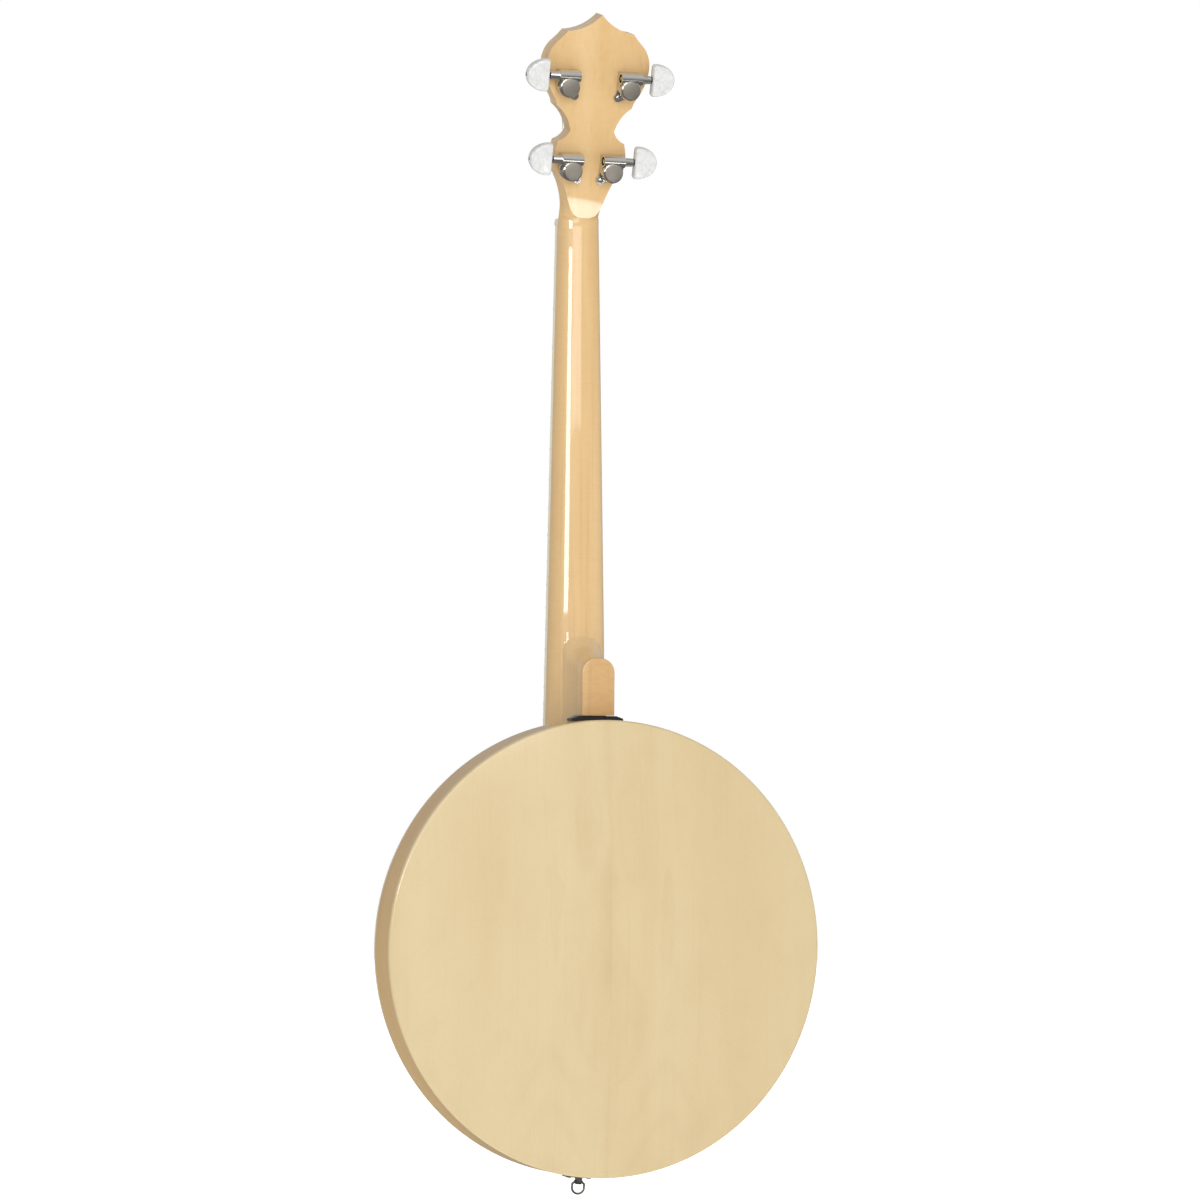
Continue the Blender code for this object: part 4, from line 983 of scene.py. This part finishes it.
def make_post(number, side, at):
    """Waisted string post with its winding, and the hex bushing and washer in the headstock's face."""
    on_body = {"body": f"post_{number}", "at": at}
    front, radius = HEAD_THICKNESS, POST_RADIUS
    profile = [(-9.0, 0), (-9.0, 2.2), (12.0, 2.2), (12.6, radius)]
    for beyond, r in (
        (5.5, radius), (6.3, 2.75), (7.0, 2.4), (8.0, 2.25), (9.0, 2.4), (9.8, 2.75), (10.6, radius),
        (15.0, radius), (15.6, 2.8), (16.0, 2.2), (16.0, 0),
    ):
        profile.append((front + beyond, r))
    post = lathe((0, 0, 0), (0, 0, -1), profile, 40)
    piece(f"post_{number}_turned", post, "nickel", replaces=(f"tuner_post_{number}",), sharp=40, **on_body)
    coil = []
    steps = int(WINDING_TURNS * 24)
    for k in range(steps + 1):
        t = math.tau * k / 24
        coil.append((2.62 * math.cos(t), 2.62 * math.sin(t), -(front + 7.0 + 1.9 * k / steps)))
    piece(f"post_{number}_winding", tube(coil, 0.22, 8), "steel", sharp=60, **on_body)
    bushing = loft([[(x, y, -(front + z)) for x, y in circle(5.6, 6)] for z in (0.75, 2.6)])
    piece(f"machine_{number}_bushing", bushing, "nickel", at=at, bevel=0.4)
    washer = lathe((0, 0, -front), (0, 0, -1), [(0.02, 6.6), (0.5, 6.6), (0.75, 6.2), (0.75, 0)], 48)
    piece(f"machine_{number}_washer", washer, "nickel", at=at)


def paint(node, look):
    """Gives a look to a CAD piece that stays in view."""
    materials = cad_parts[node].data.materials
    materials.clear()
    materials.append(LOOKS[look][1])


for number, (side, post) in TUNERS.items():
    at = tuner_matrix(side, post)
    make_housing(number, side, at)
    make_button(number, side, at)
    make_post(number, side, at)
    paint(f"tuner_worm_{number}", "steel")


# ---------------------------------------------------------------- strings

STRING_RADII = {1: 0.16, 2: 0.2, 3: 0.3, 4: 0.4}
NUT_SLOT_HEIGHT = 6.95


def make_strings():
    """Taut strings from post to nut slot, over the bridge and down to the tailpiece."""
    for number, (side, (across, along)) in TUNERS.items():
        radius = STRING_RADII[number]
        seat = NUT_SLOT_HEIGHT + radius
        nut_x = string_x(number, NUT_SPREAD)
        route = [
            on_head(side * (across - POST_RADIUS + 0.2), along, 8.0),
            Vector((nut_x, seat - 0.4, 4.4)),
            Vector((nut_x, seat, 1.4)),
            Vector((nut_x, seat, 0.2)),
            Vector((string_x(number, BRIDGE_SPREAD), BRIDGE_TOP + 0.25 + radius, BRIDGE_Z)),
            Vector((string_x(number, TAILPIECE_SPREAD), 5.2, TAILPIECE_TIP_Z + 1.0)),
        ]
        look = "wound" if number > 2 else "steel"
        piece(f"string_{number}_wire", tube(route, radius), look, replaces=(f"string_{number}",), sharp=60)


make_strings()


# ---------------------------------------------------------------- pot

BACK_INSIDE = -72.0
EDGE_ROUND = 2.0
WALL_INNER = 165.5
FLANGE_LOW = -39.2
FLANGE_HIGH = -36.6


def dome(radius, edge):
    return edge - RESONATOR_DOME * (1.0 - (radius / RESONATOR_RADIUS) ** 2)


def make_resonator():
    """Arched back with a rounded edge on the bent wall, and the wall's bound front edge."""
    radius = RESONATOR_RADIUS
    start = (radius - EDGE_ROUND, dome(radius - EDGE_ROUND, RESONATOR_BACK))
    back = [(8.5 * k, dome(8.5 * k, RESONATOR_BACK)) for k in range(20)] + [start]
    back += arc(start, (radius, start[1] + EDGE_ROUND), -0.55, 7)
    back += [(radius, BACK_INSIDE), (164.0, BACK_INSIDE)]
    back += [(r, dome(r, BACK_INSIDE)) for r in (150.0, 110.0, 60.0, 0.0)]
    piece("resonator_back_veneer", turned(back), "back", replaces=("resonator_back",), sharp=60)
    wall = [(WALL_INNER, -71.95), (radius, -71.95), (radius, -41.6), (WALL_INNER, -41.6)]
    piece("resonator_wall", turned(wall), "side", replaces=("resonator_side",))
    binding = [(165.4, -41.55), (radius, -41.55), (radius, -40.4), (radius - 0.6, -39.6), (165.4, -39.6)]
    piece("resonator_front_binding", turned(binding), "binding")


def make_rings():
    rim = [(120.7, -66.0), (139.7, -66.0), (139.7, -24.3), (136.2, -24.3), (136.2, -15.0), (120.7, -15.0)]
    tone = [(139.7, -24.0), (139.7, -7.4), (139.2, -6.3), (138.4, -5.8), (123.0, -7.4), (121.6, -8.6)]
    tone += [(121.6, -14.7), (136.5, -14.7), (136.5, -24.0)]
    head = [(r, HEAD_PLANE) for r in (0.0, 60.0, 120.0, 138.6)]
    head += arc((138.6, HEAD_PLANE), (140.7, -7.1), 0.62, 8)
    head += [(140.7, -15.6), (143.2, -15.6), (143.2, -18.6), (140.0, -18.6), (140.0, -6.9), (138.9, -5.5)]
    head += [(0.0, -5.5)]
    hoop = [(140.95, -15.3), (140.95, -7.0), (141.4, -6.3), (142.0, -6.0), (143.0, -6.0), (143.6, -6.3)]
    hoop += [(143.8, -6.9), (143.8, -9.4), (144.1, -9.8), (146.4, -9.8), (146.9, -10.1), (147.0, -10.6)]
    hoop += [(147.0, -20.3), (146.6, -21.0), (143.7, -21.0), (143.5, -20.6), (143.5, -15.3)]
    for name, profile, look, bevel in (
        ("rim", rim, "rim", 0.15),
        ("tone_ring", tone, "bronze", 0.15),
        ("head", head, "head", 0.0),
        ("tension_hoop", hoop, "nickel", 0.15),
    ):
        piece(f"{name}_turned", turned(profile), look, replaces=(name,), bevel=bevel)


def make_flange():
    """Cast plate with a hole for each hook and the hanger bolt, and curved slots between them."""
    low, high = FLANGE_LOW, FLANGE_HIGH
    profile = [(140.0, low), (169.6, low), (170.6, low + 0.6), (170.9, low + 1.3), (170.5, high - 0.4)]
    profile += [(169.8, high), (166.0, high), (165.2, high - 0.7), (144.6, high - 0.7), (143.8, high)]
    profile += [(140.0, high)]
    cuts = bmesh.new()
    step = math.tau / HOOK_COUNT
    for angle in [step * (k + 0.5) for k in range(HOOK_COUNT)] + [math.pi]:
        at = (HOOK_RADIUS * math.sin(angle), low - 2, POT_Z + HOOK_RADIUS * math.cos(angle))
        lathe(at, (0, 1, 0), [(0, 2.6), (8, 2.6)], 24, cuts)
    turns = [math.tau * n / 40 for n in range(40)]
    slot = [((5.0 + 2.2 * math.cos(t)) * math.sin(t), 155.5 + 7.0 * math.cos(t)) for t in turns]
    centre = Vector((0, 0, POT_Z))
    for k in range(1, HOOK_COUNT):
        if k != HOOK_COUNT // 2:
            turn = Matrix.Rotation(step * k, 3, "Y")
            loft([[turn @ Vector((x, y, z)) + centre for x, z in slot] for y in (low - 2, high + 2)], cuts)
    carved("flange_cast", turned(profile), "nickel", cut=(cuts,), replaces=("flange",), bevel=0.25)


def make_hooks():
    """Hooks with a tapered claw over the hoop, shank, plain end and hex nut."""
    claw_y, bend = -7.5, 3.0
    curve = sweep((claw_y - bend, HOOK_RADIUS - bend), (bend, bend), 0, 90, 8)[1:]
    path = [(0, claw_y, 144.2), (0, claw_y, 145.5), (0, claw_y, HOOK_RADIUS - bend)]
    path += [(0, y, z) for y, z in curve]
    path += [(0, -36.0, HOOK_RADIUS), (0, -56.4, HOOK_RADIUS)]
    bm = tube(path, [1.5, 1.9] + [2.0] * (len(path) - 2), 20)
    upright((HOOK_NUT_TOP, HOOK_NUT_TOP - 13.8), [(x, HOOK_RADIUS + z) for x, z in circle(4.4, 6)], bm)
    mesh = finish_mesh(bm, "bracket_hook_forged", 30)
    pot = Matrix.Translation((0, 0, POT_Z * MM))
    for k in range(HOOK_COUNT):
        at = pot @ Matrix.Rotation(math.tau * (k + 0.5) / HOOK_COUNT, 4, "Y")
        replaces = (f"bracket_hook_{k + 1:02d}",)
        show(f"hook_{k + 1:02d}_forged", mesh, "nickel", replaces=replaces, bevel=0.25, at=at)


def make_thumb_screws():
    """Four screws with milled heads on the flange that hold the resonator."""
    teeth, radius, tooth, across = 36, 5.0, 0.22, 159.0
    for index, degrees in enumerate((60.0, 140.0, 220.0, 300.0), 1):
        turn = math.radians(degrees)
        at = Vector((across * math.sin(turn), FLANGE_HIGH, POT_Z + across * math.cos(turn)))
        rings = []
        for y, grow in ((0.0, 0.0), (0.6, 0.5), (5.4, 0.5), (6.0, 0.0)):
            ring = []
            for k in range(2 * teeth):
                t = math.pi * k / teeth
                r = radius + grow + (tooth if k % 2 else 0.0)
                ring.append((at.x + r * math.cos(t), at.y + y, at.z + r * math.sin(t)))
            rings.append(ring)
        bm = loft(rings)
        lathe(at + Vector((0, 5.9, 0)), (0, 1, 0), [(0, 3.4), (0.8, 3.2), (1.3, 2.2), (1.4, 0)], 32, bm)
        piece(f"resonator_screw_{index}", bm, "nickel", sharp=25)


def make_coordinator_rod():
    end = [(-120.0, 8.0), (-118.4, 8.0), (-118.0, 6.4), (-108.4, 6.4), (-108.0, 4.76)]
    profile = end + [(-along, radius) for along, radius in reversed(end)]
    rod = lathe((0, -45.0, POT_Z), (0, 0, 1), profile, 40)
    piece("coordinator_rod_turned", rod, "steel", replaces=("coordinator_rod",), bevel=0.2)


def make_bridge():
    """Three-footed maple bridge under an ebony cap, with a notch for each string."""
    foot, cap_low, half = -4.95, BRIDGE_TOP - 2.2, 33.0
    right = [(4.6, foot)] + arc((4.6, foot), (24.2, foot), 6.2, 20) + [(half, foot), (half, foot + 4.6)]
    right += arc((half, foot + 4.6), (26.6, cap_low), 1.4, 8)
    outline = mirrored(right) + arc((-4.6, foot), (4.6, foot), 0.9, 6)[:-1]

    def edge(x, y, side):
        return x, y, BRIDGE_Z + side * (3.6 - 2.5 * (y - foot) / (BRIDGE_TOP - foot))

    rings = [[edge(x, y, side) for x, y in outline] for side in (-1, 1)]
    piece("bridge_maple", loft(rings), "bridge", replaces=("bridge",), bevel=0.25)
    rings = []
    for x, in_notch in notched(26.5, BRIDGE_SPREAD, 0.5, 0.25):
        top = BRIDGE_TOP - (0.35 if in_notch else 0.0)
        near, far = [(x, cap_low + 0.02, edge(x, cap_low, side)[2]) for side in (-1, 1)]
        rings.append([near, edge(x, top, -1), edge(x, top, 1), far])
    piece("bridge_cap", loft(rings), "ebony", bevel=0.12)


def line_runs(points):
    """The direction of a line at each of its points."""
    line = [Vector(point) for point in points]
    return [(far - near).normalized() for near, far in zip(line[:1] + line, line[1:] + line[-1:])]


def make_tailpiece():
    """Formed plate with its end turned down, a pin for each string and the hanger bolt."""
    hoop_z, tip_z = POT_Z - 143.0, TAILPIECE_TIP_Z
    middle = [(hoop_z - 6.0, -3.4, 11.0), (hoop_z - 1.0, -2.7, 14.0), (hoop_z + 4.0, -1.7, 16.2)]
    middle += [(hoop_z + 10.0, 0.1, 17.4), (hoop_z + 18.0, 2.2, 18.0), (hoop_z + 30.0, 3.6, 17.6)]
    middle += [(tip_z - 8.0, 4.8, 16.9), (tip_z - 2.5, 5.5, 16.5), (tip_z - 0.8, 5.2, 16.4)]
    middle += [(tip_z, 4.0, 16.2), (tip_z, -0.5, 16.0)]
    rings = []
    for (z, y, half), run in zip(middle, line_runs([(z, y) for z, y, half in middle])):
        lift = Vector((-run.y, run.x)) * 0.7
        across = (-half, -half + 1.0, half - 1.0, half)
        section = [(x, y + lift.y, z + lift.x) for x in across]
        rings.append(section + [(x, y - lift.y, z - lift.x) for x in reversed(across)])
    piece("tailpiece_formed", loft(rings), "nickel", replaces=("tailpiece",), bevel=0.3, sharp=28)
    pins = bmesh.new()
    for number in range(1, 5):
        at = (string_x(number, TAILPIECE_SPREAD), 5.9, tip_z - 5.0)
        lathe(at, (0, 1, 0), [(0, 1.3), (0.8, 1.3), (1.1, 1.0), (1.2, 0)], 20, pins)
    piece("tailpiece_string_pins", pins, "nickel")
    bolt_z = POT_Z - HOOK_RADIUS
    path = [(0, -7.6, POT_Z - 144.3), (0, -7.6, POT_Z - 146.8)]
    path += [(0, y, z) for y, z in sweep((-10.4, POT_Z - 147.7), (2.8, -2.8), 0, 90, 8)[1:]]
    bolt = tube(path + [(0, -36.0, bolt_z), (0, -46.8, bolt_z)], 2.0, 20)
    upright((HOOK_NUT_TOP, -44.0), [(x, bolt_z + z) for x, z in circle(5.0, 6)], bolt)
    piece("tailpiece_hanger_bolt", bolt, "nickel", replaces=("tailpiece_hanger",), bevel=0.3, sharp=30)


def make_armrest():
    """Curved rest over the hoop, its edges rolled, with a strut and clamp near each end."""
    middle, span, thickness = math.radians(120.0), math.radians(44.0), 1.3
    line = [(154.6, -14.0), (154.7, -10.0), (154.2, -6.0), (152.8, -2.6), (150.4, 0.0), (147.2, 1.8)]
    line += [(143.0, 2.6), (138.5, 2.6), (134.0, 2.0), (130.0, 0.9)]
    under = [(r - run.y * thickness, y + run.x * thickness) for (r, y), run in zip(line, line_runs(line))]
    plate = turned(line + under[::-1], 64, span, middle - span / 2)
    piece("armrest_plate", plate, "nickel", replaces=("armrest",), bevel=0.4, segments=3)
    struts = bmesh.new()
    for turn in (middle - math.radians(16.0), middle + math.radians(16.0)):
        out = Vector((math.sin(turn), 0, math.cos(turn)))
        across = Vector((math.cos(turn), 0, -math.sin(turn))) * 4
        rings = []
        for r, y in ((153.2, -12.0), (153.2, -22.5), (146.0, -23.2)):
            centre = out * r + Vector((0, y, POT_Z))
            lift = Vector((0, 0.7, 0)) if r < 150 else out * 0.7
            one, other = centre + across, centre - across
            rings.append([one + lift, other + lift, other - lift, one - lift])
        loft(rings, struts)
    piece("armrest_clamps", struts, "nickel", bevel=0.3)


def make_strap_fitting():
    """Curved plate with a raised loop and two screws on the wall, and the wire ring that hangs in it."""
    at = Matrix.Translation((0, 0, POT_Z * MM)) @ Matrix.Rotation(math.pi + math.radians(4.0), 4, "Y")
    inner, outer, bar = 171.65, 172.9, 175.6
    edge = math.degrees(12.0 / inner)
    section = sweep((0, 0), (inner, inner), 90 + edge, 90 - edge, 16)
    section += sweep((0, 0), (outer, outer), 90 - edge, 90 + edge, 16)
    rings = []
    for y, shrink in ((-4.0, 0.9), (-3.4, 1.0), (3.4, 1.0), (4.0, 0.9)):
        rings.append([(x * shrink, STRAP_Y + y, z) for x, z in section])
    hump = sweep((0, bar), (2.3, 2.3), 0, 180, 16) + [(-2.3, outer - 0.6), (2.3, outer - 0.6)]
    loop = loft([[(x, STRAP_Y + y, z) for y, z in hump] for x in (-2.2, 2.2)])
    room = lathe((-4, STRAP_Y, bar), (1, 0, 0), [(0, 1.15), (8, 1.15)], 24)
    shapes = {"joined": (loop,), "cut": (room,)}
    shapes["replaces"] = ("strap_plate",)
    carved("strap_plate_formed", loft(rings), "dark_wire", bevel=0.2, at=at, **shapes)
    seats = [((x, STRAP_Y, 172.7), (x / 172.0, 0, 1)) for x in (-8.0, 8.0)]
    screw_heads("strap_plate_screws", seats, 2.1, at=at)
    half, drop, corner = 4.8, 9.5, 1.6
    path = [(-half + corner, 0.0), (0.0, 0.0), (half - corner, 0.0)]
    path += arc((half - corner, 0.0), (half, corner), 0.45, 8)
    path += sweep((0, drop - half), (half, half * 0.95), 0, 180, 24)[1:-1] + [(-half, corner)]
    path += arc((-half, corner), (-half + corner, 0.0), 0.45, 8)[:-1]
    ring = tube([(x, STRAP_Y, bar + z) for x, z in path], 0.8, 16, closed=True)
    on_ring = {"body": "strap_ring", "replaces": ("strap_ring",), "slot": "steel"}
    piece("strap_ring_wire", ring, "dark_wire", sharp=60, at=at, **on_ring)


make_resonator()
make_rings()
make_flange()
make_hooks()
make_thumb_screws()
make_coordinator_rod()
make_bridge()
make_tailpiece()
make_armrest()
make_strap_fitting()
paint("truss_rod", "steel")
